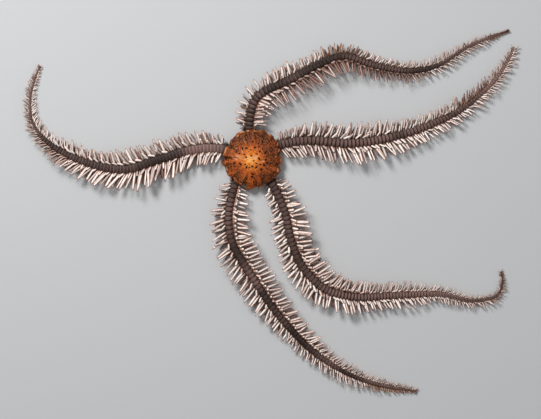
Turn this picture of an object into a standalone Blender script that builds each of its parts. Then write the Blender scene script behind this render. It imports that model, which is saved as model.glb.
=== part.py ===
"""Brittle star at life size: a scalloped disc on five long sprawling arms.

Origin: centre of the disc's underside at floor level. +X runs to the right of
the pose seen from above, +Y to its top, +Z up. Sizes below are millimetres.
"""
import math
import random

import bmesh
import bpy
from mathutils import Vector

MM = 0.001

# Clear gap between neighbouring nodes
GAP = 0.3

# Disc
DISC_HEIGHT = 4.3
DISC_BELLY = 0.25
MARGIN_TOP_OVER_ARM = 2.75
MARGIN_TOP_BETWEEN = 2.1
MARGIN_THICKNESS = 0.62
DISC_ANGLES = 66
DISC_RINGS = (0.22, 0.42, 0.6, 0.76, 0.88, 0.96)

# Edge of the disc read round the pose: angle in degrees, radius
DISC_EDGE = (
    (3, 6.67), (9, 6.35), (15, 6.78), (27, 6.81), (34, 7.07), (41, 6.8), (47, 7.16),
    (58, 6.86), (69, 7.21), (80, 6.54), (87, 6.99), (93, 6.71), (99, 6.79), (105, 6.36),
    (112, 6.88), (119, 6.9), (125, 6.61), (133, 6.51), (139, 6.6), (150, 6.06), (157, 6.58),
    (166, 6.57), (172, 6.75), (178, 6.17), (186, 6.99), (192, 6.85), (199, 6.44), (206, 6.6),
    (214, 6.7), (219, 6.49), (225, 6.0), (234, 6.41), (245, 6.6), (252, 5.93), (258, 6.6),
    (265, 7.06), (272, 6.7), (279, 6.32), (285, 6.9), (291, 6.62), (296, 5.9), (302, 6.42),
    (311, 6.55), (327, 6.73), (335, 7.07), (341, 6.85), (347, 6.47), (353, 6.86),
)

# Mouth: five jaws whose tips meet on the origin
MOUTH_RADIUS = 3.0
MOUTH_HEIGHT = 1.2
MOUTH_SIDES = 25
JAW_SLIT_WIDTH = 0.4
JAW_SLIT_DEPTH = 0.65
JAW_SLIT_INNER = 0.75
JAW_SLIT_OUTER = 3.4

# Arms: centre line of each from the disc outwards
ARM_ROUTES = {
    "west": ((-2.2, 1.2), (-7.0, 2.4), (-12.9, 2.3), (-21.1, 0.0), (-29.2, -2.3), (-37.6, -0.9),
             (-46.1, 3.3), (-50.1, 8.2), (-50.7, 13.8), (-49.5, 18.8), (-48.5, 21.2)),
    "north": ((-0.2, 4.0), (-0.4, 8.5), (1.3, 13.9), (8.6, 17.9), (15.0, 21.4), (21.0, 23.4),
              (28.1, 21.4), (35.6, 20.2), (42.0, 21.2), (49.8, 25.8), (58.7, 29.4)),
    "east": ((3.1, 2.1), (7.7, 3.6), (13.2, 4.3), (22.3, 3.6), (31.0, 4.8), (40.0, 7.5),
             (48.7, 11.9), (55.3, 17.7), (58.5, 22.3), (60.0, 25.7)),
    "southeast": ((2.2, -2.0), (5.2, -6.6), (7.7, -12.3), (9.1, -18.5), (11.6, -24.4),
                  (16.8, -29.6), (23.7, -31.5), (33.8, -31.1), (42.9, -30.9), (50.5, -32.4),
                  (56.0, -31.2), (57.3, -28.1), (56.9, -25.6)),
    "southwest": ((-2.2, -2.4), (-4.0, -6.6), (-5.2, -13.2), (-4.2, -19.4), (0.6, -27.4),
                  (6.3, -35.6), (13.6, -43.6), (22.3, -49.1), (30.3, -51.8), (37.7, -53.0)),
}

# How far spine tips stand from the centre line: share of the arm's length, reach on
# the right and on the left as one goes out along the arm
SPINE_REACH = {
    "west": ((0.0, 2.4, 2.4), (0.08, 3.0, 3.0), (0.15, 3.9, 3.8), (0.21, 4.4, 4.3),
             (0.30, 4.1, 5.2), (0.38, 4.2, 5.4), (0.50, 3.7, 4.6), (0.62, 2.8, 3.9),
             (0.72, 1.9, 2.8), (0.83, 1.4, 2.1), (0.92, 1.1, 1.5), (1.0, 0.7, 0.9)),
    "north": ((0.0, 3.0, 2.7), (0.08, 3.8, 3.3), (0.14, 4.3, 3.4), (0.24, 4.7, 4.3),
              (0.33, 4.8, 3.7), (0.40, 4.3, 4.1), (0.48, 3.6, 2.9), (0.63, 2.6, 2.4),
              (0.75, 2.0, 2.1), (0.88, 1.1, 1.2), (1.0, 0.5, 0.5)),
    "east": ((0.0, 3.0, 2.6), (0.08, 3.7, 3.3), (0.15, 3.9, 4.2), (0.22, 4.5, 4.7),
             (0.32, 4.9, 4.7), (0.41, 4.6, 4.7), (0.48, 4.5, 4.5), (0.56, 3.4, 3.4),
             (0.68, 3.0, 3.0), (0.81, 2.6, 2.8), (0.91, 1.9, 2.1), (1.0, 1.3, 1.3)),
    "southeast": ((0.0, 2.8, 3.0), (0.09, 3.6, 3.8), (0.18, 4.2, 4.8), (0.33, 4.3, 4.8),
                  (0.40, 4.6, 4.6), (0.49, 4.1, 4.1), (0.63, 3.1, 3.1), (0.75, 2.1, 2.1),
                  (0.87, 1.4, 1.4), (1.0, 0.6, 0.6)),
    "southwest": ((0.0, 2.8, 3.0), (0.08, 3.5, 3.7), (0.16, 4.1, 4.8), (0.25, 4.4, 5.4),
                  (0.385, 4.5, 4.5), (0.59, 2.9, 2.9), (0.75, 2.3, 2.3), (0.88, 1.6, 1.6),
                  (1.0, 1.0, 1.0)),
}

# Arm body along its length: share of the length, width, height
ARM_BODY = ((0.0, 2.7, 1.8), (0.35, 2.6, 1.75), (0.6, 2.1, 1.45), (0.8, 1.4, 1.0), (1.0, 0.62, 0.5))
ARM_START_RADIUS = 4.2
SOCKET_START_RADIUS = 3.9
SOCKET_END_RADIUS = 9.0
SPINE_START_RADIUS = 7.85
PLATE_STEP = 0.05

# Lengths of each arm: name, share of the arm at its end, plates along it
ARM_LENGTHS = (("base", 0.27, 7), ("mid", 0.50, 8), ("outer", 0.75, 8), ("tip", 1.0, 9))

# Rows of spines up each flank: rise in degrees, root height and side as shares of
# the arm's height and half width, share of the reach, thickness, place along its
# plate, which plates bear it
SPINE_ROWS = (
    (50, 0.86, 0.66, 0.46, 0.66, 0.72, "even"),
    (21, 0.62, 0.90, 1.0, 0.62, 0.30, "all"),
    (4, 0.36, 0.94, 0.95, 0.58, 0.76, "odd"),
)
SPINE_SIDES = 3
SPINE_END_SHARE = 0.42
SPINE_LENGTH_JITTER = 0.07
SPINE_ANGLE_JITTER = 4.0

# Lean of the spines towards the arm's tip: share of the length, degrees right and left
SPINE_LEAN = {
    "west": ((0.0, 14, 18), (0.3, 12, 26), (0.5, 22, 28), (0.7, 28, 30), (1.0, 38, 38)),
    "north": ((0.0, 6, 8), (0.24, 10, 11), (0.36, 20, 12), (0.5, 16, 16), (0.65, 28, 24),
              (1.0, 40, 38)),
    "east": ((0.0, 24, 12), (0.4, 22, 18), (0.6, 22, 25), (1.0, 32, 34)),
    "southeast": ((0.0, 14, 6), (0.3, 18, 10), (0.5, 20, 16), (0.7, 26, 24), (1.0, 36, 36)),
    "southwest": ((0.0, 10, 6), (0.3, 14, 10), (0.5, 20, 18), (0.7, 26, 26), (1.0, 36, 36)),
}

# Finishes: colour, roughness
DISC_FINISH = ((0.50, 0.20, 0.06, 1.0), 0.5)
MOUTH_FINISH = ((0.62, 0.50, 0.40, 1.0), 0.5)
ARM_FINISH = ((0.42, 0.34, 0.30, 1.0), 0.45)


def interpolate(table, x):
    """Smoothly read a table of (position, value, ...) rows at x."""
    last = table[-1]
    if x <= table[0][0]:
        return table[0][1:]
    for low, high in zip(table, table[1:]):
        if x <= high[0]:
            t = (x - low[0]) / (high[0] - low[0])
            t = t * t * (3 - 2 * t)
            return tuple(a + (b - a) * t for a, b in zip(low[1:], high[1:]))
    return last[1:]


def spline(points, steps=16):
    """Centripetal Catmull-Rom curve through flat points."""
    pts = [Vector(p) for p in points]
    pts = [pts[0] * 2 - pts[1]] + pts + [pts[-1] * 2 - pts[-2]]
    curve = []
    for p0, p1, p2, p3 in zip(pts, pts[1:], pts[2:], pts[3:]):
        t1 = (p1 - p0).length ** 0.5
        t2 = t1 + (p2 - p1).length ** 0.5
        t3 = t2 + (p3 - p2).length ** 0.5
        for step in range(steps):
            t = t1 + (t2 - t1) * step / steps
            a1 = p0 * ((t1 - t) / t1) + p1 * (t / t1)
            a2 = p1 * ((t2 - t) / (t2 - t1)) + p2 * ((t - t1) / (t2 - t1))
            a3 = p2 * ((t3 - t) / (t3 - t2)) + p3 * ((t - t2) / (t3 - t2))
            b1 = a1 * ((t2 - t) / t2) + a2 * (t / t2)
            b2 = a2 * ((t3 - t) / (t3 - t1)) + a3 * ((t - t1) / (t3 - t1))
            curve.append(b1 * ((t2 - t) / (t2 - t1)) + b2 * ((t - t1) / (t2 - t1)))
    curve.append(pts[-2])
    return curve


class Route:
    """Centre line of one arm, read by distance along it."""

    def __init__(self, points):
        self.curve = spline(points)
        self.marks = [0.0]
        for a, b in zip(self.curve, self.curve[1:]):
            self.marks.append(self.marks[-1] + (b - a).length)
        self.length = self.marks[-1]

    def point(self, s):
        if s <= 0:
            return self.curve[0] + (self.curve[1] - self.curve[0]).normalized() * s
        for index in range(len(self.marks) - 1):
            if s <= self.marks[index + 1]:
                t = (s - self.marks[index]) / (self.marks[index + 1] - self.marks[index])
                return self.curve[index].lerp(self.curve[index + 1], t)
        return self.curve[-1] + (self.curve[-1] - self.curve[-2]).normalized() * (s - self.length)

    def heading(self, s, reach=0.6):
        return (self.point(s + reach) - self.point(s - reach)).normalized()

    def at_radius(self, radius):
        """Distance along the route at which it first passes a radius."""
        s = -4.0
        while self.point(s).length < radius:
            s += 0.05
        return s


def make_mesh(name, verts, faces, flat_faces=False):
    """A closed mesh object from millimetre corners, with its faces turned outwards."""
    mesh = bpy.data.meshes.new(name)
    mesh.from_pydata([tuple(c * MM for c in v) for v in verts], [], faces)
    mesh.update()
    obj = bpy.data.objects.new(name, mesh)
    bpy.context.scene.collection.objects.link(obj)
    work = bmesh.new()
    work.from_mesh(mesh)
    if not flat_faces:
        bmesh.ops.triangulate(work, faces=work.faces[:])
    bmesh.ops.recalc_face_normals(work, faces=work.faces[:])
    if work.calc_volume(signed=True) < 0:
        bmesh.ops.reverse_faces(work, faces=work.faces[:])
    work.to_mesh(mesh)
    work.free()
    return obj


def loft(name, rings, flat_faces=False):
    """A closed body through rings that all have the same number of corners."""
    count = len(rings[0])
    verts = [corner for ring in rings for corner in ring]
    faces = [tuple(range(count)), tuple(range(len(verts) - count, len(verts)))]
    for row in range(len(rings) - 1):
        for i in range(count):
            j = (i + 1) % count
            faces.append((row * count + i, row * count + j, (row + 1) * count + j, (row + 1) * count + i))
    return make_mesh(name, verts, faces, flat_faces)


def give_material(obj, finish):
    """The node's own material, named after it."""
    colour, roughness = finish
    material = bpy.data.materials.new(obj.name)
    material.diffuse_color = colour
    material.use_nodes = True
    shader = material.node_tree.nodes["Principled BSDF"]
    shader.inputs["Base Color"].default_value = colour
    shader.inputs["Roughness"].default_value = roughness
    shader.inputs["Metallic"].default_value = 0.0
    obj.data.materials.clear()
    obj.data.materials.append(material)


def keep_largest(obj):
    """Keep only the body's largest closed surface."""
    work = bmesh.new()
    work.from_mesh(obj.data)
    bmesh.ops.remove_doubles(work, verts=work.verts[:], dist=1e-8)
    unseen = set(work.faces)
    islands = []
    while unseen:
        stack = [unseen.pop()]
        island = list(stack)
        while stack:
            face = stack.pop()
            for edge in face.edges:
                for other in edge.link_faces:
                    if other in unseen:
                        unseen.discard(other)
                        stack.append(other)
                        island.append(other)
        islands.append(island)
    islands.sort(key=lambda faces: sum(f.calc_area() for f in faces))
    for island in islands[:-1]:
        bmesh.ops.delete(work, geom=island, context="FACES")
    work.to_mesh(obj.data)
    work.free()


def apply_boolean(obj, operation, cutters):
    """One Boolean against a collection of closed bodies, which are then removed."""
    group = bpy.data.collections.new(obj.name + "_parts")
    bpy.context.scene.collection.children.link(group)
    for cutter in cutters:
        bpy.context.scene.collection.objects.unlink(cutter)
        group.objects.link(cutter)
    modifier = obj.modifiers.new("join", "BOOLEAN")
    modifier.operation = operation
    modifier.operand_type = "COLLECTION"
    modifier.collection = group
    modifier.solver = "EXACT"
    bpy.ops.object.select_all(action="DESELECT")
    bpy.context.view_layer.objects.active = obj
    obj.select_set(True)
    bpy.ops.object.modifier_apply(modifier=modifier.name)
    for cutter in cutters:
        bpy.data.objects.remove(cutter, do_unlink=True)
    bpy.data.collections.remove(group)
    keep_largest(obj)


def arm_section(width, height):
    """Right half of the arm body's section from the floor up: side offset, height."""
    return ((0.30 * width, 0.0), (0.5 * width, 0.44 * height), (0.34 * width, height))


def arm_ring(route, s, half):
    """Corners round the arm at s; half is its right side from the bottom to the top."""
    centre = route.point(s)
    heading = route.heading(s)
    side = Vector((heading.y, -heading.x))
    ring = []
    for offset, z in half:
        at = centre + side * offset
        ring.append((at.x, at.y, z))
    for offset, z in reversed(half):
        at = centre - side * offset
        ring.append((at.x, at.y, z))
    return ring


def build_core(name, route, start, end, plates):
    """The body of one length of arm, its plates stepped like overlapping tiles."""
    rings = []
    step = (end - start) / plates
    for index in range(plates):
        s = start + step * index
        for at, flare in ((s, 1.0 - PLATE_STEP), (s + step * 0.86, 1.0 + PLATE_STEP)):
            width, height = interpolate(ARM_BODY, at / route.length)
            rings.append(arm_ring(route, at, arm_section(width * flare, height * flare)))
    width, height = interpolate(ARM_BODY, end / route.length)
    rings.append(arm_ring(route, end, arm_section(width * (1.0 - PLATE_STEP), height * (1.0 - PLATE_STEP))))
    return loft(name, rings)


def build_spine(name, root, direction, length, thickness, sink):
    """One blunt, tapered spine whose root is sunk in the arm."""
    up = Vector((0, 0, 1))
    across = direction.cross(up).normalized()
    over = across.cross(direction).normalized()
    rings = []
    for along, radius in ((-sink, 0.58), (length, 0.58 * SPINE_END_SHARE)):
        ring = []
        for i in range(SPINE_SIDES):
            a = 2 * math.pi * i / SPINE_SIDES + math.pi / 2
            offset = across * (radius * thickness * math.cos(a)) + over * (radius * thickness * math.sin(a))
            at = root + direction * along + offset
            ring.append((at.x, at.y, at.z))
        rings.append(ring)
    return loft(name, rings, flat_faces=True)


def spines_of_length(name, arm, route, start, end, plates, first_plate, spine_start):
    """Spines on both flanks of one length of arm, a station on each plate."""
    draw = random.Random(name)
    spines = []
    step = (end - start) / plates
    for index in range(plates):
        parity = "even" if (first_plate + index) % 2 == 0 else "odd"
        for rise, root_height, root_side, share, thickness, phase, bears in SPINE_ROWS:
            s = start + step * (index + phase)
            if bears not in ("all", parity) or s < spine_start:
                continue
            u = s / route.length
            width, height = interpolate(ARM_BODY, u)
            centre = route.point(s)
            heading = route.heading(s)
            thick = thickness * min(1.0, 0.5 + 0.5 * height / 1.6)
            for hand, reach, lean_here in zip((1, -1), interpolate(SPINE_REACH[arm], u),
                                              interpolate(SPINE_LEAN[arm], u)):
                side = Vector((heading.y, -heading.x)) * hand
                lean = math.radians(lean_here + draw.uniform(-1, 1) * SPINE_ANGLE_JITTER)
                tilt = math.radians(rise + draw.uniform(-0.6, 0.6) * min(rise, SPINE_ANGLE_JITTER))
                offset = root_side * 0.5 * width
                length = (reach * share - offset) / (math.cos(tilt) * math.cos(lean))
                if share < 0.6:
                    length = share * reach
                length = max(0.45, length * (1 + draw.uniform(-1, 0.6) * SPINE_LENGTH_JITTER))
                flat = side * math.cos(lean) + heading * math.sin(lean)
                direction = Vector((flat.x * math.cos(tilt), flat.y * math.cos(tilt), math.sin(tilt)))
                at = centre + side * offset
                z = max(root_height * height, 0.58 * thick + 0.04)
                spines.append(build_spine("spine", Vector((at.x, at.y, z)), direction, length, thick,
                                          0.26 * width))
    return spines


def disc_radius(angle):
    """Radius of the scalloped edge at an angle in degrees."""
    rows = DISC_EDGE + ((DISC_EDGE[0][0] + 360, DISC_EDGE[0][1]),)
    angle = angle % 360
    if angle < rows[0][0]:
        angle += 360
    return interpolate(rows, angle)[0]


def build_disc(routes):
    """The domed disc, its margin raised over each arm, with sockets and mouth recess cut."""
    arm_angles = []
    for route in routes.values():
        crossing = route.point(route.at_radius(6.6))
        arm_angles.append(math.degrees(math.atan2(crossing.y, crossing.x)))
    rings = []
    outline = []
    for i in range(DISC_ANGLES):
        angle = 360 * i / DISC_ANGLES
        away = min(abs((angle - a + 180) % 360 - 180) for a in arm_angles)
        lift = 1.0 if away < 15 else max(0.0, 1.0 - (away - 15) / 14)
        lift = lift * lift * (3 - 2 * lift)
        top = MARGIN_TOP_BETWEEN + (MARGIN_TOP_OVER_ARM - MARGIN_TOP_BETWEEN) * lift
        outline.append((math.radians(angle), disc_radius(angle), top))
    for share in DISC_RINGS:
        ring = []
        for angle, radius, top in outline:
            r = radius * share
            z = top + (DISC_HEIGHT - top) * (1 - share ** 2.2) ** 0.8
            ring.append((r * math.cos(angle), r * math.sin(angle), z))
        rings.append(ring)
    edge = []
    lip = []
    belly = []
    foot = []
    for angle, radius, top in outline:
        edge.append((radius * math.cos(angle), radius * math.sin(angle), top - 0.5 * MARGIN_THICKNESS))
        r = radius * 0.95
        lip.append((r * math.cos(angle), r * math.sin(angle), max(0.9, top - 1.3)))
        r = radius * 0.84
        belly.append((r * math.cos(angle), r * math.sin(angle), DISC_BELLY + 0.15))
        r = radius * 0.62
        foot.append((r * math.cos(angle), r * math.sin(angle), DISC_BELLY))
    rings += [edge, lip, belly, foot]
    disc = loft("disc", rings)
    cutters = []
    for name, route in routes.items():
        sections = []
        inner = route.at_radius(SOCKET_START_RADIUS)
        outer = route.at_radius(SOCKET_END_RADIUS)
        width, height = interpolate(ARM_BODY, 0.05)
        width = width * (1 + PLATE_STEP) + 2 * GAP
        height = height * (1 + PLATE_STEP) + GAP
        half = ((0.5 * width, -1.0), (0.5 * width, 0.5 * height), (0.42 * width, height))
        for index in range(6):
            s = inner + (outer - inner) * index / 5
            sections.append(arm_ring(route, s, half))
        cutters.append(loft("socket_" + name, sections))
    recess = []
    for z in (-1.0, MOUTH_HEIGHT + GAP):
        ring = []
        for i in range(MOUTH_SIDES):
            a = 2 * math.pi * i / MOUTH_SIDES
            r = MOUTH_RADIUS + GAP + 0.02
            ring.append((r * math.cos(a), r * math.sin(a), z))
        recess.append(ring)
    cutters.append(loft("mouth_recess", recess))
    apply_boolean(disc, "DIFFERENCE", cutters)
    give_material(disc, DISC_FINISH)
    return disc


def build_mouth(routes):
    """Five jaws joined round the top, parted below by the slits that face the arms."""
    rings = []
    for z, radius in ((0.0, MOUTH_RADIUS - 0.35), (0.3, MOUTH_RADIUS), (MOUTH_HEIGHT, MOUTH_RADIUS)):
        ring = []
        for i in range(MOUTH_SIDES):
            a = 2 * math.pi * i / MOUTH_SIDES
            ring.append((radius * math.cos(a), radius * math.sin(a), z))
        rings.append(ring)
    mouth = loft("mouth", rings)
    cutters = []
    for name, route in routes.items():
        start = route.point(route.at_radius(ARM_START_RADIUS)).normalized()
        side = Vector((start.y, -start.x)) * (0.5 * JAW_SLIT_WIDTH)
        sections = []
        for z in (-0.5, JAW_SLIT_DEPTH):
            corners = []
            for reach, hand in ((JAW_SLIT_INNER, -0.2), (JAW_SLIT_OUTER, -1), (JAW_SLIT_OUTER, 1),
                                (JAW_SLIT_INNER, 0.2)):
                at = start * reach + side * hand
                corners.append((at.x, at.y, z))
            sections.append(corners)
        cutters.append(loft("slit_" + name, sections))
    apply_boolean(mouth, "DIFFERENCE", cutters)
    give_material(mouth, MOUTH_FINISH)
    return mouth


def build_arm(name, route):
    """One arm in lengths that meet face to face, each fused with its spines."""
    start = route.at_radius(ARM_START_RADIUS)
    spine_start = route.at_radius(SPINE_START_RADIUS)
    first_plate = 0
    for length_name, share, plates in ARM_LENGTHS:
        end = route.length * share
        if share < 1.0:
            end -= 0.5 * GAP
        node_name = "arm_" + name + "_" + length_name
        node = build_core(node_name, route, start, end, plates)
        spines = spines_of_length(node_name, name, route, start, end, plates, first_plate, spine_start)
        apply_boolean(node, "UNION", spines)
        give_material(node, ARM_FINISH)
        start = end + GAP
        first_plate += plates


def main():
    for obj in list(bpy.data.objects):
        bpy.data.objects.remove(obj, do_unlink=True)
    routes = {name: Route(points) for name, points in ARM_ROUTES.items()}
    build_disc(routes)
    build_mouth(routes)
    for name, route in routes.items():
        build_arm(name, route)


main()
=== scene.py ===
"""Looks of a life-size brittle star lying on a pale floor, seen from straight above.

The disc, the mouth and the five arms stand in for the plainer solids of the frame.
Sizes in the tables are millimetres.
"""

import math
import random

import bmesh
import bpy
import numpy as np
from bpy.props import FloatProperty, FloatVectorProperty, PointerProperty
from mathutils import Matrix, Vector
from mathutils.kdtree import KDTree


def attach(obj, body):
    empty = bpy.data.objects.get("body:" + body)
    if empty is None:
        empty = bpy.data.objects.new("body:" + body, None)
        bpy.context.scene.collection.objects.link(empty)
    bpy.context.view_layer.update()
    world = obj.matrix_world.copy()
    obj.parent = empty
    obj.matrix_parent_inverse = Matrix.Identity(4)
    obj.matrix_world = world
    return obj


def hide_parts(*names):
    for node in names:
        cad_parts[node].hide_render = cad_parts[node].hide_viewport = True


bl_info = {
    "name": "Brittle Star",
    "version": (1, 0, 0),
    "blender": (4, 5, 0),
    "location": "3D View > Sidebar > Brittle Star",
    "description": "Builds the disc, mouth, arms and spines of a life-size brittle star",
    "category": "Add Mesh",
}

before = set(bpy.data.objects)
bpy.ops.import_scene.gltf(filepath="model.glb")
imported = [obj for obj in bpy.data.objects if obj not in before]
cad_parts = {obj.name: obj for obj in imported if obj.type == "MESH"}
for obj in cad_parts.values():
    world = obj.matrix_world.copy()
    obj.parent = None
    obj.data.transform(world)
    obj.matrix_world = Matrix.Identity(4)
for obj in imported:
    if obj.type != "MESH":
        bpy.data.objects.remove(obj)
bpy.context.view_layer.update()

MM = 0.001

# Disc edge read round the pose: angle in degrees, radius
DISC_EDGE = (
    (3, 6.67), (9, 6.35), (15, 6.78), (21, 6.74), (27, 6.81), (34, 7.07), (41, 6.8), (47, 7.16),
    (53, 7.09), (58, 6.86), (64, 7.08), (69, 7.21), (76, 6.85), (80, 6.54), (87, 6.99), (93, 6.71),
    (97, 6.8), (101, 6.77), (105, 6.36), (108, 6.51), (112, 6.88), (119, 6.9), (125, 6.61),
    (133, 6.51), (139, 6.6), (144, 6.38), (150, 6.06), (155, 6.56), (159, 6.59), (166, 6.57),
    (172, 6.75), (179, 6.16), (182, 6.73), (186, 6.99), (191, 6.9), (196, 6.51), (200, 6.44),
    (206, 6.6), (214, 6.7), (219, 6.49), (224, 6.0), (228, 6.18), (234, 6.41), (242, 6.43),
    (247, 6.63), (252, 5.93), (255, 6.22), (260, 6.8), (265, 7.06), (270, 6.8), (275, 6.48),
    (280, 6.31), (283, 6.85), (287, 6.92), (292, 6.57), (296, 5.9), (299, 6.35), (307, 6.5),
    (319, 6.6), (327, 6.73), (333, 7.06), (338, 7.07), (343, 6.73), (347, 6.47), (352, 6.84),
    (357, 6.97),
)

# Blackish dots on the disc: x, y, half length, half width, turn in degrees
DISC_DOTS = (
    (0.14, 3.92, 0.24, 0.21, 0), (2.36, 3.94, 0.24, 0.17, 160), (1.51, 3.47, 0.17, 0.13, 90),
    (1.58, 2.87, 0.20, 0.15, 60), (0.66, 2.62, 0.23, 0.21, 0), (2.40, 2.32, 0.22, 0.14, 80),
    (-1.31, 2.46, 0.26, 0.22, 20), (-2.18, 2.39, 0.34, 0.15, 100), (1.78, 1.71, 0.24, 0.18, 60),
    (3.06, 1.36, 0.26, 0.22, 90), (-0.14, 0.72, 0.21, 0.18, 0), (-1.76, 1.04, 0.30, 0.14, 150),
    (-2.91, 1.27, 0.17, 0.13, 0), (1.10, 1.16, 0.30, 0.12, 150), (-1.33, 0.40, 0.21, 0.18, 0),
    (1.65, 0.01, 0.40, 0.17, 125), (3.18, -0.19, 0.23, 0.20, 0), (3.27, 0.56, 0.17, 0.12, 90),
    (-4.05, -0.97, 0.30, 0.20, 60), (-2.66, -1.13, 0.40, 0.18, 135), (-1.60, -1.27, 0.22, 0.14, 30),
    (3.50, -0.86, 0.34, 0.18, 35), (2.74, -1.34, 0.34, 0.18, 125), (1.92, -1.27, 0.21, 0.16, 10),
    (1.01, -1.04, 0.20, 0.13, 20), (-1.24, -1.89, 0.34, 0.18, 60), (0.07, -1.73, 0.23, 0.20, 0),
    (-0.64, -1.96, 0.20, 0.14, 30), (1.01, -1.89, 0.36, 0.17, 35), (2.15, -2.37, 0.27, 0.25, 0),
    (0.11, -3.44, 0.38, 0.18, 150), (0.04, -4.08, 0.34, 0.16, 145), (-0.32, 2.07, 0.16, 0.11, 0),
    (0.36, -5.39, 0.17, 0.13, 0), (-3.91, -1.70, 0.18, 0.12, 20), (0.39, -0.40, 0.20, 0.10, 60),
    (-0.64, -1.16, 0.15, 0.10, 70), (0.57, -4.43, 0.20, 0.12, 120),
)

# Pale flecks on the disc, and painted highlights: glints and bright rims, the same way
DISC_FLECKS_AND_GLINTS = (
    (-4.3, 0.35, 0.55, 0.25, 140), (-3.6, 0.0, 0.45, 0.26, 150), (-2.54, 6.18, 0.40, 0.22, 20),
    (-3.34, 5.33, 0.30, 0.24, 70), (-6.1, 2.0, 0.75, 0.26, 75), (-1.6, 3.9, 0.8, 0.08, 128),
    (5.86, 3.5, 0.55, 0.18, 60), (6.2, 2.1, 0.45, 0.18, 60), (5.5, 0.8, 0.65, 0.15, 65),
    (6.6, -0.4, 0.45, 0.2, 110), (5.9, -2.56, 0.6, 0.26, 100), (3.9, 5.6, 0.6, 0.16, 125),
    (-0.9, 6.45, 0.4, 0.18, 0), (0.6, 6.4, 0.35, 0.18, 0), (-3.64, 2.47, 0.3, 0.17, 20),
    (-1.75, -4.1, 0.6, 0.07, 66), (-2.6, -5.6, 0.45, 0.15, 140), (-0.2, 0.45, 0.6, 0.22, 60),
    (2.4, -0.55, 0.5, 0.2, 10), (-4.2, 0.3, 0.8, 0.10, 135), (5.3, 1.2, 0.3, 0.13, 60),
    (1.85, -6.45, 0.6, 0.18, 60), (-5.8, -2.2, 0.6, 0.18, 120), (0.75, 0.35, 0.9, 0.5, 20),
    (-3.0, 0.5, 1.1, 0.4, 150), (-2.2, 1.6, 0.6, 0.25, 120), (-1.4, 0.1, 0.7, 0.3, 30),
)

# Brown clouds between the middle and the rim, the same way; partly painted shade,
# which darkens the top of the disc
DISC_CLOUDS_AND_SHADE = (
    (4.6, 2.3, 1.5, 0.6, 20), (4.0, -3.9, 0.9, 0.7, 130), (-0.4, 5.3, 1.6, 0.8, 0),
    (-3.3, -4.1, 0.7, 1.4, 160), (-5.1, 2.1, 0.6, 0.5, 0),
    (4.9, 0.4, 0.7, 1.1, 0), (2.3, 5.2, 1.0, 0.7, 150), (-4.3, 3.6, 0.7, 0.9, 30),
    (3.0, -4.6, 0.5, 1.1, 20), (-5.4, -1.2, 0.8, 0.4, 10), (1.7, -5.7, 0.3, 0.5, 10),
    (-3.6, 1.7, 0.5, 0.35, 0), (3.0, 4.2, 1.3, 0.9, 150), (-2.4, 5.0, 1.4, 0.9, 30),
    (-3.4, -3.0, 0.5, 0.8, 130), (-4.7, 3.3, 1.3, 0.9, 50),
    (-2.7, -5.3, 0.9, 0.7, 60), (2.0, 5.3, 1.2, 0.8, 160), (-1.2, -5.7, 1.3, 0.6, 170),
    (-4.6, 2.8, 0.9, 0.6, 60), (1.2, 5.9, 1.2, 0.5, 170), (3.6, 0.9, 0.5, 1.0, 10),
    (2.6, -3.6, 0.6, 0.9, 30),
)

# Disc in section: the margin's height between the arms, its lift over them and how far it
# drops to the rim; the underside's height, its rise over the mouth, the distances from the
# middle between which that rise ends, and its roof over each arm
MARGIN_HEIGHT = 2.1
MARGIN_LIFT = 0.62
MARGIN_DROP = 0.31
BELLY_HEIGHT = 0.24
MOUTH_RISE = 0.9
MOUTH_EDGE = (2.9, 3.3)
ARM_ROOF = 2.06

# Relief on top of the disc: scallops, wrinkles, waves, granules and the pits of its dots
SCALLOP_RELIEF = 0.20
WRINKLE_RELIEF = 0.15
WAVE_RELIEF = 0.06
GRANULE_RELIEF = 0.035
DOT_DEPTH = 0.12
GRANULE_PITCH = 0.31
SCALLOP_UNIT = 0.30

# Share of the disc's grid that lies on top, its rows and columns, and the reach that its
# granules cover
DISC_TOP_SHARE = 0.76
DISC_GRID = (165, 480)
DISC_REACH = 7.6

# Fields that place the stains and painted light on the disc: name, noise that frays them, how much
DISC_FIELDS = (
    ("pleat", "Blotch", 0.35), ("cloud_and_shade", "Speck", 0.8), ("edge", "Speck", 0.5),
    ("fleck_and_glint", "Speck", 1.4), ("dot", "Speck", 0.35),
)

# Stains on the disc from the first laid to the last, painted light and shade among them:
# field, where it starts, where it is full, strength, screen colour
DISC_STAINS = (
    # Painted shade in the scallops' hollows, over real radial streaks
    ("pleat", 0.44, 0.08, 0.80, (50, 22, 10)),
    # Painted light on the scallops' crests, over the same streaks
    ("pleat", 0.60, 0.94, 0.58, (206, 104, 42)),
    # Brown clouds, partly painted shade over the top of the disc
    ("cloud_and_shade", 1.5, 0.4, 0.76, (54, 24, 11)),
    # Painted shade between the granules
    ("granule", 0.34, 0.0, 0.42, (66, 28, 10)),
    # Painted light on the granules' tops, with each granule's own random tone
    ("granule", 0.52, 0.95, 0.32, (236, 140, 62)),
    ("speck", 0.47, 0.32, 0.40, (66, 28, 12)),
    # Painted highlight along the rim
    ("edge", 0.35, 0.9, 0.50, (218, 126, 60)),
    # Pale flecks, partly painted glints and bright rims
    ("fleck_and_glint", 1.3, 0.3, 0.48, (232, 174, 132)),
    ("dot", 1.8, 1.0, 0.50, (100, 44, 16)),
    ("dot", 1.22, 0.90, 0.97, (14, 8, 7)),
)

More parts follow.
